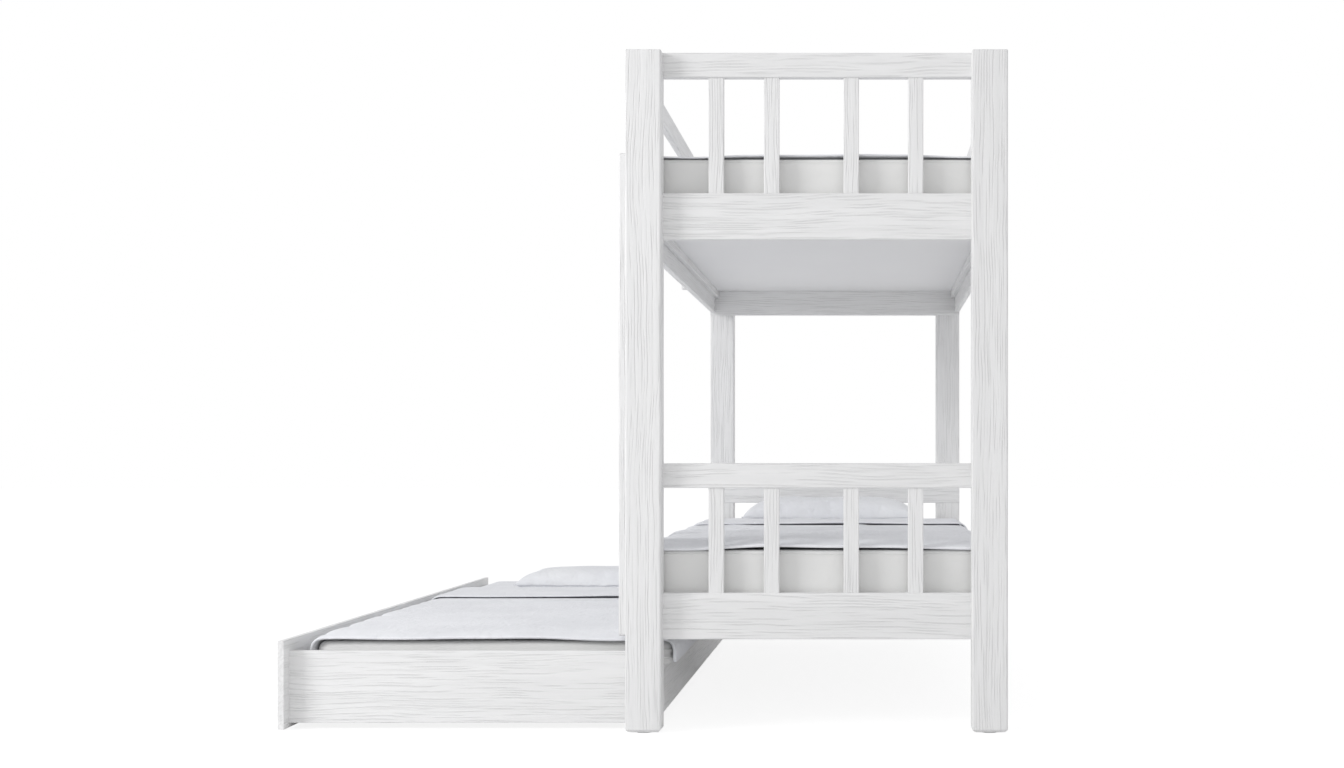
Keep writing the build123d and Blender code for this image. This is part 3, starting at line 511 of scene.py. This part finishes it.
wood = {axis: painted_wood(f"painted_wood_along_{axis}", axis) for axis in "xyz"}
panel_paint = painted_panel("painted_panel")
beech = bare_beech("beech")
zinc_steel = plated_metal("zinc_steel", (0.62, 0.62, 0.63), 0.34, 900.0)
cast_zinc = plated_metal("cast_zinc", (0.60, 0.60, 0.60), 0.45, 500.0)
glide_plastic = moulded("glide_plastic", (0.75, 0.75, 0.75), 0.5)
wheel_rubber = moulded("castor_rubber", (0.07, 0.07, 0.075), 0.62)
duvet_cotton = woven_cloth(
    "duvet_cotton", light=(0.87, 0.88, 0.91), dark=(0.82, 0.83, 0.86),
    thread=0.0011, wrinkle=0.6, depth=0.0022, sheen=0.15,
)
pillow_cotton = woven_cloth(
    "pillow_cotton", light=(0.89, 0.90, 0.92), dark=(0.84, 0.85, 0.88),
    thread=0.0010, wrinkle=0.7, depth=0.0022, sheen=0.15,
)
mattress_cover = woven_cloth(
    "mattress_cover", light=(0.80, 0.80, 0.79), dark=(0.77, 0.77, 0.76),
    thread=0.0026, wrinkle=0.25, depth=0.0012, sheen=0.1,
)

# Which way the grain runs in each wooden piece, from words in its name. The side rails are found
# along Y before the other rails are found along X.
grain_along = {
    "y": ("side_rail", "guard_top", "guard_middle", "platform_ledgers", "ladder_rungs",
          "trundle_front_panel", "trundle_rear_board", "trundle_cleats"),
    "z": ("post_", "_slats", "guard_battens", "ladder_stile"),
    "x": ("_rail", "_headboard", "trundle_foot_board", "trundle_head_board", "trundle_bearers"),
}


def finish_of(node):
    """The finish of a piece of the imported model, from its name."""
    if node in ("platform_upper", "platform_lower", "trundle_base"):
        return panel_paint
    if node == "slat_dowels":
        return beech
    if node in ("cam_fittings", "trundle_cam_fittings"):
        return cast_zinc
    if node in ("wood_screws", "trundle_screws", "ladder_bolts", "castor_forks", "castor_axles"):
        return zinc_steel
    if node == "floor_glides":
        return glide_plastic
    if node.startswith("castor_wheel"):
        return wheel_rubber
    for axis, words in grain_along.items():
        if any(word in node for word in words):
            return wood[axis]
    return None


for node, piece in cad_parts.items():
    finish = finish_of(node)
    if finish is not None:
        piece.data.materials.clear()
        piece.data.materials.append(finish)


# Bedding

SHEET = 0.0022  # thickness of the sheet between the turned-back part and the head end
SINK = 0.0094  # how far the pillows sink below the top of the duvet, onto that sheet
SIDE_GAP, LAYER_GAP = 0.0005, 0.0002  # beside a mattress or a duvet, and above it
NOWHERE = 9.0  # a place beyond the head end of every bed

# The duvets
CELL = 0.0145  # from one point of a duvet's grid to the next
BEND = 0.0185  # radius of the path over a mattress's edge
HANG_WAVE = 0.09  # how unevenly the sides hang, as a share of their length
SEAM_INSET, SEAM_WIDTH, SEAM_DEPTH = 0.016, 0.0035, 0.0012  # the stitches inside the hem
RIM_FROM, RIM_TO, RIM_SHARE = -0.012, 0.03, 0.62  # it thickens from this share over these insets
SLOW_SWELL, QUICK_SWELL = 0.0013, 0.0006  # heights of its long and short waves
FADE_FROM, FADE_TO = 0.32, 0.06  # how far before the pressed place the creases fade out
PRESSED_DEPTH = 0.0015  # how much thinner it is from the pressed place on
SHEET_BEFORE, SHEET_AFTER = 0.004, 0.020  # it thins to the sheet over these, round its place
RISE_REACH, DROOP_REACH = 0.035, 0.009  # how far from the foot's hem its rise and droop fade
RISE_REST, RISE_WAVES = 0.25, 0.52  # of the rise beside its bell, and of its waves, as shares
FOOT_OVER, FOOT_DROOP = 0.0015, 0.0036  # at the very foot: how far it stands out, and hangs down
DUVET_PRESSURE, DUVET_STIFFNESS = 1.2, 0.6
CALM_FROM, CALM_TO, CALMED = 0.30, 0.06, 0.85  # before the still place, and the share of calm

# Their turned-back parts
FOLD_GAP = 0.044  # from the turned-back part's end to the pillow
TURNED_BACK = 0.374  # its length
TURNED_TOP, TURNED_SIDE, TURNED_SHORTER = 0.0078, 0.004, 0.008  # its thickness, and its sides
TURNED_CEILING = 0.0055  # how much higher than the duvet's its ceiling is
PRESSED_BACK, STILL_BACK = 0.36, 0.38  # from its end to where the duvet is pressed and still

# The pillows
PILLOW_SEAM, PILLOW_BELLY = 0.009, 0.0082  # the seam's height, and how far the lower skin hangs
PILLOW_ROOM = 0.014  # how much lower the arch over the seam is than the pillow
DENT = 0.10  # the dent of a head in the middle, as a share of the height
RESTING, CLEAR = 0.004, 0.0008  # points this low stay put, and none is lower than the second
PILLOW_WELT = 0.0018  # radius of the welt on the seam
PILLOW_PRESSURE, PILLOW_STIFFNESS, PILLOW_CAP = 2.2, 3.0, 0.012

# The mattresses
CROWN, UNEVEN, CROWN_ROOM = 0.0022, 0.0006, 0.003  # the top's rise, its waves, and room for both
EDGE_WELT, DRAWN_IN, SIDE_WAVE = 0.0007, 0.003, 0.0005  # the sides' welt, hollow and waves


def sim_settle(piece, pinned, pressure, slack, cap, stiffness, frames=16):
    """Lets the cloth of a closed skin puff up and buckle, with its pinned points held.

    The skin is cut larger by the share of slack, so it buckles into folds under its pressure. No
    point moves further than the cap, which is one length or a length per point.
    """
    rest = places_of(piece)
    held = piece.vertex_groups.new(name="held")
    held.add(np.flatnonzero(pinned).tolist(), 1.0, "REPLACE")
    cloth = piece.modifiers.new("cloth", "CLOTH")
    settings = cloth.settings
    settings.quality = 5
    settings.mass = 0.25
    settings.tension_stiffness = settings.compression_stiffness = 20.0
    settings.shear_stiffness = 8.0
    settings.bending_stiffness = stiffness
    settings.use_pressure = True
    settings.uniform_pressure_force = pressure
    settings.shrink_min = -slack
    settings.effector_weights.gravity = 0.0
    settings.vertex_group_mass = "held"
    cloth.point_cache.frame_start = 1
    cloth.point_cache.frame_end = frames
    scene = bpy.context.scene
    for step in range(1, frames + 1):
        scene.frame_set(step)
    settled = piece.evaluated_get(bpy.context.evaluated_depsgraph_get())
    shape = settled.to_mesh()
    moved = np.empty(len(shape.vertices) * 3)
    shape.vertices.foreach_get("co", moved)
    settled.to_mesh_clear()
    piece.modifiers.remove(cloth)
    piece.vertex_groups.clear()
    scene.frame_set(1)
    shift = moved.reshape(-1, 3) - rest
    far = np.linalg.norm(shift, axis=1, keepdims=True)
    set_places(piece, rest + shift * np.minimum(1, cap / np.maximum(far, 1e-9)))


def subdivided(piece):
    """Rounds a piece with one level of subdivision."""
    soft = piece.modifiers.new("soft", "SUBSURF")
    soft.levels = soft.render_levels = 1


def rimmed_shell(name, upper, lower, steps=4):
    """A closed pad whose upper and lower skins are joined by a half round rim.

    Each rim point lies on a half circle from the upper skin's outline to the lower one's, round the
    middle between them, towards the outside of the pad.
    """
    rows, columns = upper.shape[:2]
    i, j = np.divmod(outline_numbers(rows, columns), columns)
    top, bottom = upper[i, j], lower[i, j]
    middle = (top + bottom) / 2
    inside = lower[np.clip(i, 1, rows - 2), np.clip(j, 1, columns - 2)]
    away = bottom - inside
    away /= np.linalg.norm(away, axis=1, keepdims=True)
    reach = np.linalg.norm(top - bottom, axis=1, keepdims=True) / 2
    rings = []
    for turn in np.linspace(0, math.pi, steps + 2)[1:-1]:
        rings.append(middle + (top - middle) * math.cos(turn) + away * reach * math.sin(turn))
    return shell(name, upper, lower, rings)


def over_the_bed(share, half, drop, bend):
    """A path up one side of a mattress, across its top and down the other, and its outward way.

    The share runs from 0 to 1 along the path. The path is straight down each side, a quarter circle
    of the named bend over each edge, and level on top, where its height is 0.
    """
    level = half - bend
    total = 2 * (level + bend * math.pi / 2 + drop - bend)
    far = np.abs(share - 0.5) * total
    side = np.sign(share - 0.5)
    turn = np.clip((far - level) / bend, 0, math.pi / 2)
    down = np.maximum(far - level - bend * math.pi / 2, 0)
    x = side * (np.minimum(far, level) + bend * np.sin(turn))
    z = -bend * (1 - np.cos(turn)) - down
    return x, z, side * np.sin(turn), np.cos(turn)


def quilt_skins(
    bed, y0, y1, top, side, drop, lift, seed, droop=0.0, hem_wave=0.002, slack=0.0, folds=(),
    pressed=None, sheet=None,
):
    """The outer and inner skin of a duvet over a mattress, between two places along the bed.

    The inner skin follows the path over the mattress. The outer one lies off it along its outward
    direction by the thickness: the top's value on the level part, the side's value on the hanging
    part, plus creases and an uneven swell. It thins along an S curve towards its hem, and a seam
    line runs round it a little inside. At the foot the hem waves in and out, and it stands off the
    mattress by a bell curve across the bed, whose height, middle and width are the three values of
    the lift, with a few small waves. Its very edge droops. Creases and swell fade out towards the
    pressed place, and beyond the sheet's place only a thin sheet goes on.
    """
    middle_x, half, top_z, bend = bed
    width = 2 * (half + drop)
    rows, columns = int(width / CELL), int((y1 - y0) / CELL)
    share, v = np.meshgrid(np.linspace(0, 1, rows), np.linspace(0, 1, columns), indexing="ij")
    hang = drop + HANG_WAVE * drop * ripple(v * (y1 - y0), v * 0, seed + 3, wave=0.42)
    x, z, out_x, out_z = over_the_bed(share, half, hang, bend)
    foot = y0 + hem_wave * ripple(x, x * 0, seed + 1, wave=0.34)
    y = foot + v * (y1 - foot)

    swell = SLOW_SWELL * ripple(x, y, seed, wave=0.22)
    swell = swell + QUICK_SWELL * ripple(x, y, seed + 9, wave=0.07)
    swell = swell + slack * slack_folds(x, y, seed + 17)
    for start, end, wide, high in folds:
        swell = swell + high * crease(x, y, (start[0], y0 + start[1]), (end[0], y0 + end[1]), wide)
    if pressed is not None:
        swell = swell * (1 - smooth_step(y, pressed - FADE_FROM, pressed - FADE_TO))
        swell = swell - PRESSED_DEPTH * smooth_step(y, pressed - FADE_TO, pressed)

    inset = np.minimum(np.minimum(y - foot, y1 - y), np.minimum(share, 1 - share) * width)
    seam = np.exp(-(((inset - SEAM_INSET) / SEAM_WIDTH) ** 2))
    rim = smooth_step(inset, RIM_FROM, RIM_TO)
    flat = out_z**2
    thick = side + (top - side) * flat + swell * flat * rim
    thick = thick * (RIM_SHARE + (1 - RIM_SHARE) * rim) - SEAM_DEPTH * seam
    if sheet is not None:
        thinned = smooth_step(y, sheet - SHEET_BEFORE, sheet + SHEET_AFTER)
        thick = thick - (thick - SHEET) * thinned

    peak, peak_x, peak_width = lift
    bell = np.exp(-(((x - peak_x) / peak_width) ** 2))
    waves = RISE_WAVES * ripple(x, x * 0, seed + 6, wave=0.3)
    rise = np.maximum(peak * (bell + RISE_REST + waves), 0)
    rise = rise * np.exp(-(y - foot) / RISE_REACH) - droop * np.exp(-(y - foot) / DROOP_REACH)
    inner = np.stack([middle_x + x, y, top_z + z + rise * flat], -1)
    outward = np.stack([out_x, np.zeros_like(x), out_z], -1)
    return inner + outward * thick[..., None], inner


def kept_below(piece, level):
    """Presses what stands above a level down to it, all but a remainder.

    The remainder grows from 0 to its most along a hyperbolic tangent over the ease.
    """
    most, ease = 0.0006, 0.003
    points = places_of(piece)
    over = np.maximum(points[:, 2] - level, 0)
    points[:, 2] -= over - most * np.tanh(over / ease)
    set_places(piece, points)


def make_quilt(name, node, body, skins, slack, cap, still_from=NOWHERE, ceiling=None):
    """A duvet from its two skins, whose outer skin is let buckle over the still inner one.

    It is still near its hem and beyond the still place, and grows calmer on the way there.
    """
    outer, inner = skins
    piece = rimmed_shell(name, outer, inner)
    still = np.ones(outer.shape[:2], bool)
    still[3:-3, 3:-3] = False
    still |= outer[..., 1] > still_from
    pinned = np.ones(len(piece.data.vertices), bool)
    pinned[: still.size] = still.ravel()
    calm = smooth_step(places_of(piece)[:, 1:2], still_from - CALM_FROM, still_from - CALM_TO)
    cap = cap * (1 - CALMED * calm)
    sim_settle(piece, pinned, DUVET_PRESSURE, slack, cap, DUVET_STIFFNESS)
    if ceiling is not None:
        kept_below(piece, ceiling)
    subdivided(piece)
    piece.data.materials.append(duvet_cotton)
    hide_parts(node)
    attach(piece, body)


def seam_welt(name, line, radius, finish, sides=6):
    """A welt: a round bar carried along a closed line of points.

    Each ring stands square to the line, in its outward and upward directions.
    """
    ahead = np.roll(line, -1, 0) - np.roll(line, 1, 0)
    ahead /= np.linalg.norm(ahead, axis=1, keepdims=True)
    up = np.array([0.0, 0.0, 1.0]) - ahead * ahead[:, 2:3]
    up /= np.linalg.norm(up, axis=1, keepdims=True)
    out = np.cross(ahead, up)
    turn = np.linspace(0, 2 * math.pi, sides, endpoint=False)[None, :, None]
    points = line[:, None] + radius * (np.cos(turn) * out[:, None] + np.sin(turn) * up[:, None])
    numbers = np.arange(len(line) * sides).reshape(len(line), sides)
    following = np.roll(numbers, -1, 0)
    corners = numbers, following, np.roll(following, -1, 1), np.roll(numbers, -1, 1)
    quads = np.stack(corners, -1).reshape(-1, 4)
    welt = quad_mesh(name, points.reshape(-1, 3), quads)
    welt.data.materials.append(finish)
    return welt


def make_pillow(node, body, height, seed, blunt, dome, sink):
    """A pillow: two arched skins that meet at a seam, with drawn-in sides and pointed corners.

    The height over the seam's plane is a product of two factors, 1 less the distance from the
    middle to a power, which is the bluntness along and 3 across, all to the power 0.52. The dome is
    the share by which the ends are lower than the middle, and a bell curve makes the dent of a
    head. The lower skin is pressed flat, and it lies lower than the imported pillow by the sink.
    """
    low, high = (np.array(corner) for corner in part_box(node))
    low[2] -= sink
    middle, half = (low + high) / 2, (high - low) / 2
    rows, columns = 61, 39
    a, b = np.meshgrid(np.linspace(-1, 1, rows), np.linspace(-1, 1, columns), indexing="ij")
    x = middle[0] + half[0] * a * (1 - 0.045 * (1 - b**2) * a**2)
    y = middle[1] + half[1] * b * (1 - 0.06 * (1 - a**2) * b**2)
    arch = np.maximum((1 - np.abs(a) ** blunt) * (1 - np.abs(b) ** 3.0), 0) ** 0.52
    arch *= 1 - dome * a**2
    seam_z = low[2] + PILLOW_SEAM
    dent = 1 - DENT * np.exp(-((a / 0.45) ** 2) - ((b / 0.5) ** 2))
    uneven = 1 + 0.03 * ripple(x, y, seed, wave=0.2)
    top = seam_z + (height - PILLOW_ROOM) * arch * dent * uneven
    bottom = seam_z - PILLOW_BELLY * np.minimum(1, arch * 1.6)
    piece = sewn_shell(node + "_case", np.stack([x, y, top], -1), np.stack([x, y, bottom], -1))
    resting = places_of(piece)[:, 2] < low[2] + RESTING
    sim_settle(piece, resting, PILLOW_PRESSURE, 0.03, PILLOW_CAP, PILLOW_STIFFNESS, frames=18)
    points = places_of(piece)
    points[:, 2] = np.maximum(points[:, 2], low[2] + CLEAR)
    set_places(piece, points)
    seam = points[outline_numbers(rows, columns)]
    subdivided(piece)
    piece.data.materials.append(pillow_cotton)
    welt = seam_welt(node + "_seam", seam, PILLOW_WELT, pillow_cotton)
    for part in (piece, welt):
        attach(part, body)
    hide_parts(node)
    return piece, welt


def rounded_plan(a, b, half_x, half_y, radius):
    """Carries a square grid onto a rectangle with round corners.

    In each corner the rings of the square are drawn onto quarter circles: a point keeps its ring,
    and its distance from the corner's centre becomes that ring's radius.
    """
    x, y = a * half_x, b * half_y
    over_x = np.maximum(np.abs(x) - (half_x - radius), 0)
    over_y = np.maximum(np.abs(y) - (half_y - radius), 0)
    far = np.hypot(over_x, over_y)
    ring = np.maximum(over_x, over_y)
    share = np.where(far > 0, ring / np.maximum(far, 1e-12), 1)
    return (
        np.sign(x) * (np.minimum(np.abs(x), half_x - radius) + over_x * share),
        np.sign(y) * (np.minimum(np.abs(y), half_y - radius) + over_y * share),
    )


def edge_profile(edge, welt):
    """Outward reach and depth below the top of a mattress edge: a quarter circle, then a welt.

    The welt bulges over its own part of a round, from 0.5 to 2.64 radians.
    """
    quarter = [
        (edge * math.sin(t), edge * (1 - math.cos(t))) for t in np.linspace(0, QUARTER, 7)[1:]
    ]
    bulge = [
        (edge + welt * math.sin(t), edge + welt * (1 - math.cos(t)))
        for t in np.linspace(0.5, 2.64, 5)
    ]
    return quarter + bulge


def make_mattress(node, body, seed, edge, corner, swell, raised):
    """A mattress: a crowned top, a piped upper and lower edge, and sides drawn in between them.

    The crown falls off from the middle with the fourth power of the distance. The side is a profile
    carried round the plan's outline: each edge is a quarter circle with a thin welt under it, and
    between them the side is drawn in like half a sine wave. The left side stands out by the swell,
    and the top stands higher by the raised value.
    """
    low, high = (np.array(place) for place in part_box(node))
    low[0] -= swell
    high[2] += raised
    middle, half = (low + high) / 2, (high - low) / 2
    a, b = np.meshgrid(np.linspace(-1, 1, 61), np.linspace(-1, 1, 131), indexing="ij")
    inset = edge + EDGE_WELT
    x, y = rounded_plan(a, b, half[0] - inset, half[1] - inset, corner - inset)
    crown = CROWN * (1 - a**4) * (1 - b**4) + UNEVEN * ripple(x, y, seed, wave=0.16)
    crown *= 1 - np.maximum(np.abs(a), np.abs(b)) ** 8
    top, bottom = high[2] - CROWN_ROOM, low[2]
    upper = np.stack([middle[0] + x, middle[1] + y, top + crown], -1)
    lower = np.stack([middle[0] + x, middle[1] + y, np.full_like(x, bottom)], -1)

    outline = upper.reshape(-1, 3)[outline_numbers(*a.shape)]
    ahead = np.roll(outline, -1, 0) - np.roll(outline, 1, 0)
    out = np.stack([ahead[:, 1], -ahead[:, 0], np.zeros(len(outline))], -1)
    out /= np.linalg.norm(out, axis=1, keepdims=True)
    edges = edge_profile(edge, EDGE_WELT)
    profile = [(reach, top - depth) for reach, depth in edges]
    z_high, z_low = top - edges[-1][1], bottom + edges[-1][1]
    for t in np.linspace(0, 1, 15)[1:-1]:
        profile.append((edge - DRAWN_IN * math.sin(math.pi * t), z_high + (z_low - z_high) * t))
    profile += [(reach, bottom + depth) for reach, depth in reversed(edges)]
    round_way = outline[:, 0] + outline[:, 1]
    rings = []
    for reach, level in profile:
        height = level * 2 + outline[:, 0] * 0
        slack = SIDE_WAVE * np.abs(ripple(round_way, height, seed + 5, wave=0.11))
        ring = outline + out * (reach - slack)[:, None]
        ring[:, 2] = level
        rings.append(ring)
    piece = shell(node + "_cover", upper, lower, rings)
    piece.data.materials.append(mattress_cover)
    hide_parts(node)
    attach(piece, body)


def dress_bed(
    level, body, mattress, duvet, pillow, seed, round_off, hang, lift, slack, folds,
    ceiling=None, blunt=4.0, dome=0.0, flatter=0.0, raised=0.0,
):
    """A mattress with its duvet, the duvet's turned-back part and a pillow.

    The round off is the radius of the mattress's edges and of its corners. The hang is how far the
    duvet's sides reach down, how thick they are, how far the mattress swells to the left, and how
    far the duvet stands off it there. The lift and the folds shape the duvet's foot end and its
    creases. The slack is the height of its small folds, and the ceiling is the height that it stays
    below. The pillow has its bluntness and dome, and is lower by the flatter value. The raised
    value is added to the height of the mattress's top.
    """
    drop, side, swell, stand = hang
    edge, corner = round_off
    make_mattress(mattress, body, seed, edge, corner, swell, raised)
    stand += swell
    low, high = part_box(mattress)
    duvet_low, duvet_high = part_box(duvet)
    pillow_low, pillow_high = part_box(pillow)
    top, sink = high.z + raised, SINK - raised
    middle_x, half = (low.x + high.x - stand) / 2, (high.x - low.x + stand) / 2 + SIDE_GAP
    fold_end = pillow_low.y - FOLD_GAP
    skins = quilt_skins(
        (middle_x, half, top + LAYER_GAP, BEND), duvet_low.y - FOOT_OVER, duvet_high.y,
        pillow_low.z - top, side, drop, lift, seed, droop=FOOT_DROOP, slack=slack, folds=folds,
        pressed=fold_end - PRESSED_BACK, sheet=fold_end,
    )
    make_quilt(
        level + "_duvet_body", duvet, body, skins, slack=0.03, cap=0.008,
        still_from=fold_end - STILL_BACK, ceiling=ceiling,
    )
    over = (middle_x, half + side + SIDE_GAP, pillow_low.z + LAYER_GAP, BEND + side)
    turned = quilt_skins(
        over, fold_end - TURNED_BACK, fold_end, TURNED_TOP, TURNED_SIDE,
        BEND + side - TURNED_SHORTER, lift=(0.0045, 0.1, 0.3), seed=seed + 20, hem_wave=0.011,
    )
    if ceiling is not None:
        ceiling += TURNED_CEILING
    make_quilt(
        level + "_duvet_turned_back", duvet, body, turned, slack=0.02, cap=0.0022, ceiling=ceiling
    )
    height = pillow_high.z - pillow_low.z + sink - flatter
    return make_pillow(pillow, body, height, seed + 40, blunt, dome, sink)


# Creases of each duvet: start and end as places across the bed and up from the foot, width, height
LOWER_FOLDS = (
    ((-0.44, 0.10), (-0.05, 0.85), 0.030, 0.0085),
    ((-0.46, 0.45), (-0.15, 1.15), 0.022, 0.0060),
    ((0.42, 0.15), (0.10, 0.70), 0.035, 0.0065),
    ((-0.20, 0.02), (0.05, 0.40), 0.030, 0.0060),
    ((0.25, 0.60), (0.44, 1.10), 0.028, 0.0060),
)
UPPER_FOLDS = (
    ((0.44, 0.12), (0.02, 0.70), 0.032, 0.0080),
    ((-0.44, 0.20), (-0.12, 0.95), 0.026, 0.0065),
    ((-0.05, 0.05), (0.22, 0.42), 0.030, 0.0055),
    ((0.10, 0.75), (0.42, 1.10), 0.026, 0.0060),
)
TRUNDLE_FOLDS = (
    ((-0.44, 0.05), (-0.02, 0.62), 0.034, 0.0034),
    ((-0.42, 0.40), (-0.10, 1.05), 0.026, 0.0032),
    ((0.05, 0.06), (0.40, 0.50), 0.032, -0.0034),
    ((0.10, 0.55), (0.43, 1.02), 0.028, -0.0032),
)

# Radius of each mattress's edges and corners, and how its duvet hangs, as dress_bed takes them
BUNK_EDGES, BUNK_HANG = (0.008, 0.030), (0.038, 0.0055, 0.0, 0.0)
TRUNDLE_EDGES, TRUNDLE_HANG = (0.020, 0.024), (0.052, 0.013, 0.024, 0.003)

dress_bed(
    "upper", "bunk", "mattress_upper", "duvet_upper", "pillow_upper", seed=11,
    round_off=BUNK_EDGES, hang=BUNK_HANG, lift=(0.0075, 0.07, 0.26),
    slack=0.0075, folds=UPPER_FOLDS, raised=0.006,
)
dress_bed(
    "lower", "bunk", "mattress_lower", "duvet_lower", "pillow_lower", seed=12,
    round_off=BUNK_EDGES, hang=BUNK_HANG, lift=(0.006, 0.02, 0.22),
    slack=0.0075, folds=LOWER_FOLDS,
)
trundle_pillow = dress_bed(
    "trundle", "trundle", "trundle_mattress", "trundle_duvet", "trundle_pillow", seed=13,
    round_off=TRUNDLE_EDGES, hang=TRUNDLE_HANG, lift=(0.0058, -0.05, 0.42),
    slack=0.0040, folds=TRUNDLE_FOLDS, ceiling=0.2345, blunt=12.0, dome=0.26, flatter=0.007,
)
pillow_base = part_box("trundle_pillow")[0]
pillow_base = (pillow_base.x, pillow_base.y, pillow_base.z - SINK)
for part in trundle_pillow:
    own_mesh(part)


# Camera, floor and light

def make_camera():
    """The photograph's view: level, from the foot end, a little right of the bunk's middle."""
    camera = bpy.data.cameras.new("camera")
    camera.lens = 41.19
    camera.sensor_width = 36.0
    camera.shift_x = -0.1466
    camera.shift_y = 0.0558
    camera.clip_end = 200.0
    holder = bpy.data.objects.new("camera", camera)
    holder.location = (0.563, -4.921, 0.688)
    holder.rotation_euler = (QUARTER, 0.0, 0.0)
    bpy.context.scene.collection.objects.link(holder)
    bpy.context.scene.camera = holder


def white_for_camera(tree):
    """1 where the camera, a reflection or a see-through surface looks at the backdrop."""
    path = tree.nodes.new("ShaderNodeLightPath")
    seen = maths(tree, "MAXIMUM", path.outputs["Is Camera Ray"], path.outputs["Is Glossy Ray"])
    return maths(tree, "MAXIMUM", seen, path.outputs["Is Transmission Ray"])


def coloured(tree, kind, colour, strength=None):
    """A shader node of one colour, with its strength where it gives off light."""
    node = tree.nodes.new(kind)
    node.inputs["Color"].default_value = (*colour, 1)
    if strength is not None:
        node.inputs["Strength"].default_value = strength
    return node.outputs[0]


def shown_and_lit(tree, lit, shown, end):
    """Shows one shader to the camera and lights the object with the other, up to an end node."""
    mix = tree.nodes.new("ShaderNodeMixShader")
    link(tree, white_for_camera(tree), mix.inputs["Fac"])
    link(tree, lit, mix.inputs[1])
    link(tree, shown, mix.inputs[2])
    link(tree, mix.outputs[0], tree.nodes.new(end).inputs["Surface"])


def make_floor():
    """A pale floor that shows as white and keeps a faint shadow: a square of four faces."""
    steps = np.linspace(-30.0, 30.0, 3)
    x, y = np.meshgrid(steps, steps, indexing="ij")
    points = np.stack([x, y, np.zeros_like(x)], -1).reshape(-1, 3)
    floor = quad_mesh("floor", points, grid_quads(3, 3))
    material = bpy.data.materials.new("pale_floor")
    material.use_nodes = True
    tree = material.node_tree
    tree.nodes.clear()
    plain = coloured(tree, "ShaderNodeBsdfDiffuse", (0.93, 0.93, 0.93))
    both = tree.nodes.new("ShaderNodeAddShader")
    link(tree, coloured(tree, "ShaderNodeBsdfDiffuse", (0.24, 0.24, 0.24)), both.inputs[0])
    link(tree, coloured(tree, "ShaderNodeEmission", (1, 1, 1), 0.865), both.inputs[1])
    shown_and_lit(tree, plain, both.outputs[0], "ShaderNodeOutputMaterial")
    floor.data.materials.append(material)


def make_world(strength):
    """Even white light all round, and a white backdrop."""
    world = bpy.data.worlds.new("studio")
    world.use_nodes = True
    tree = world.node_tree
    tree.nodes.clear()
    light = coloured(tree, "ShaderNodeBackground", (0.99, 0.99, 1.0), strength)
    backdrop = coloured(tree, "ShaderNodeBackground", (1, 1, 1), 1.0)
    shown_and_lit(tree, light, backdrop, "ShaderNodeOutputWorld")
    bpy.context.scene.world = world


def make_lamp(name, place, aim, size, power):
    """A square soft lamp that looks at a point."""
    lamp = bpy.data.lights.new(name, "AREA")
    lamp.shape = "SQUARE"
    lamp.size = size
    lamp.energy = power
    holder = bpy.data.objects.new(name, lamp)
    holder.location = place
    ray = np.subtract(aim, place)
    yaw = math.atan2(ray[0], -ray[1])
    pitch = math.atan2(math.hypot(ray[0], ray[1]), -ray[2])
    holder.rotation_euler = (pitch, 0.0, yaw + math.pi)
    bpy.context.scene.collection.objects.link(holder)


make_camera()
make_floor()
make_world(strength=0.70)
make_lamp("key_lamp", (-4.4, -3.4, 2.9), aim=(0.1, -0.7, 0.7), size=1.8, power=140.0)
make_lamp("fill_lamp", (2.8, -4.6, 1.6), aim=(0.3, -0.4, 0.8), size=3.0, power=8.0)
bpy.context.scene.view_settings.view_transform = "Standard"
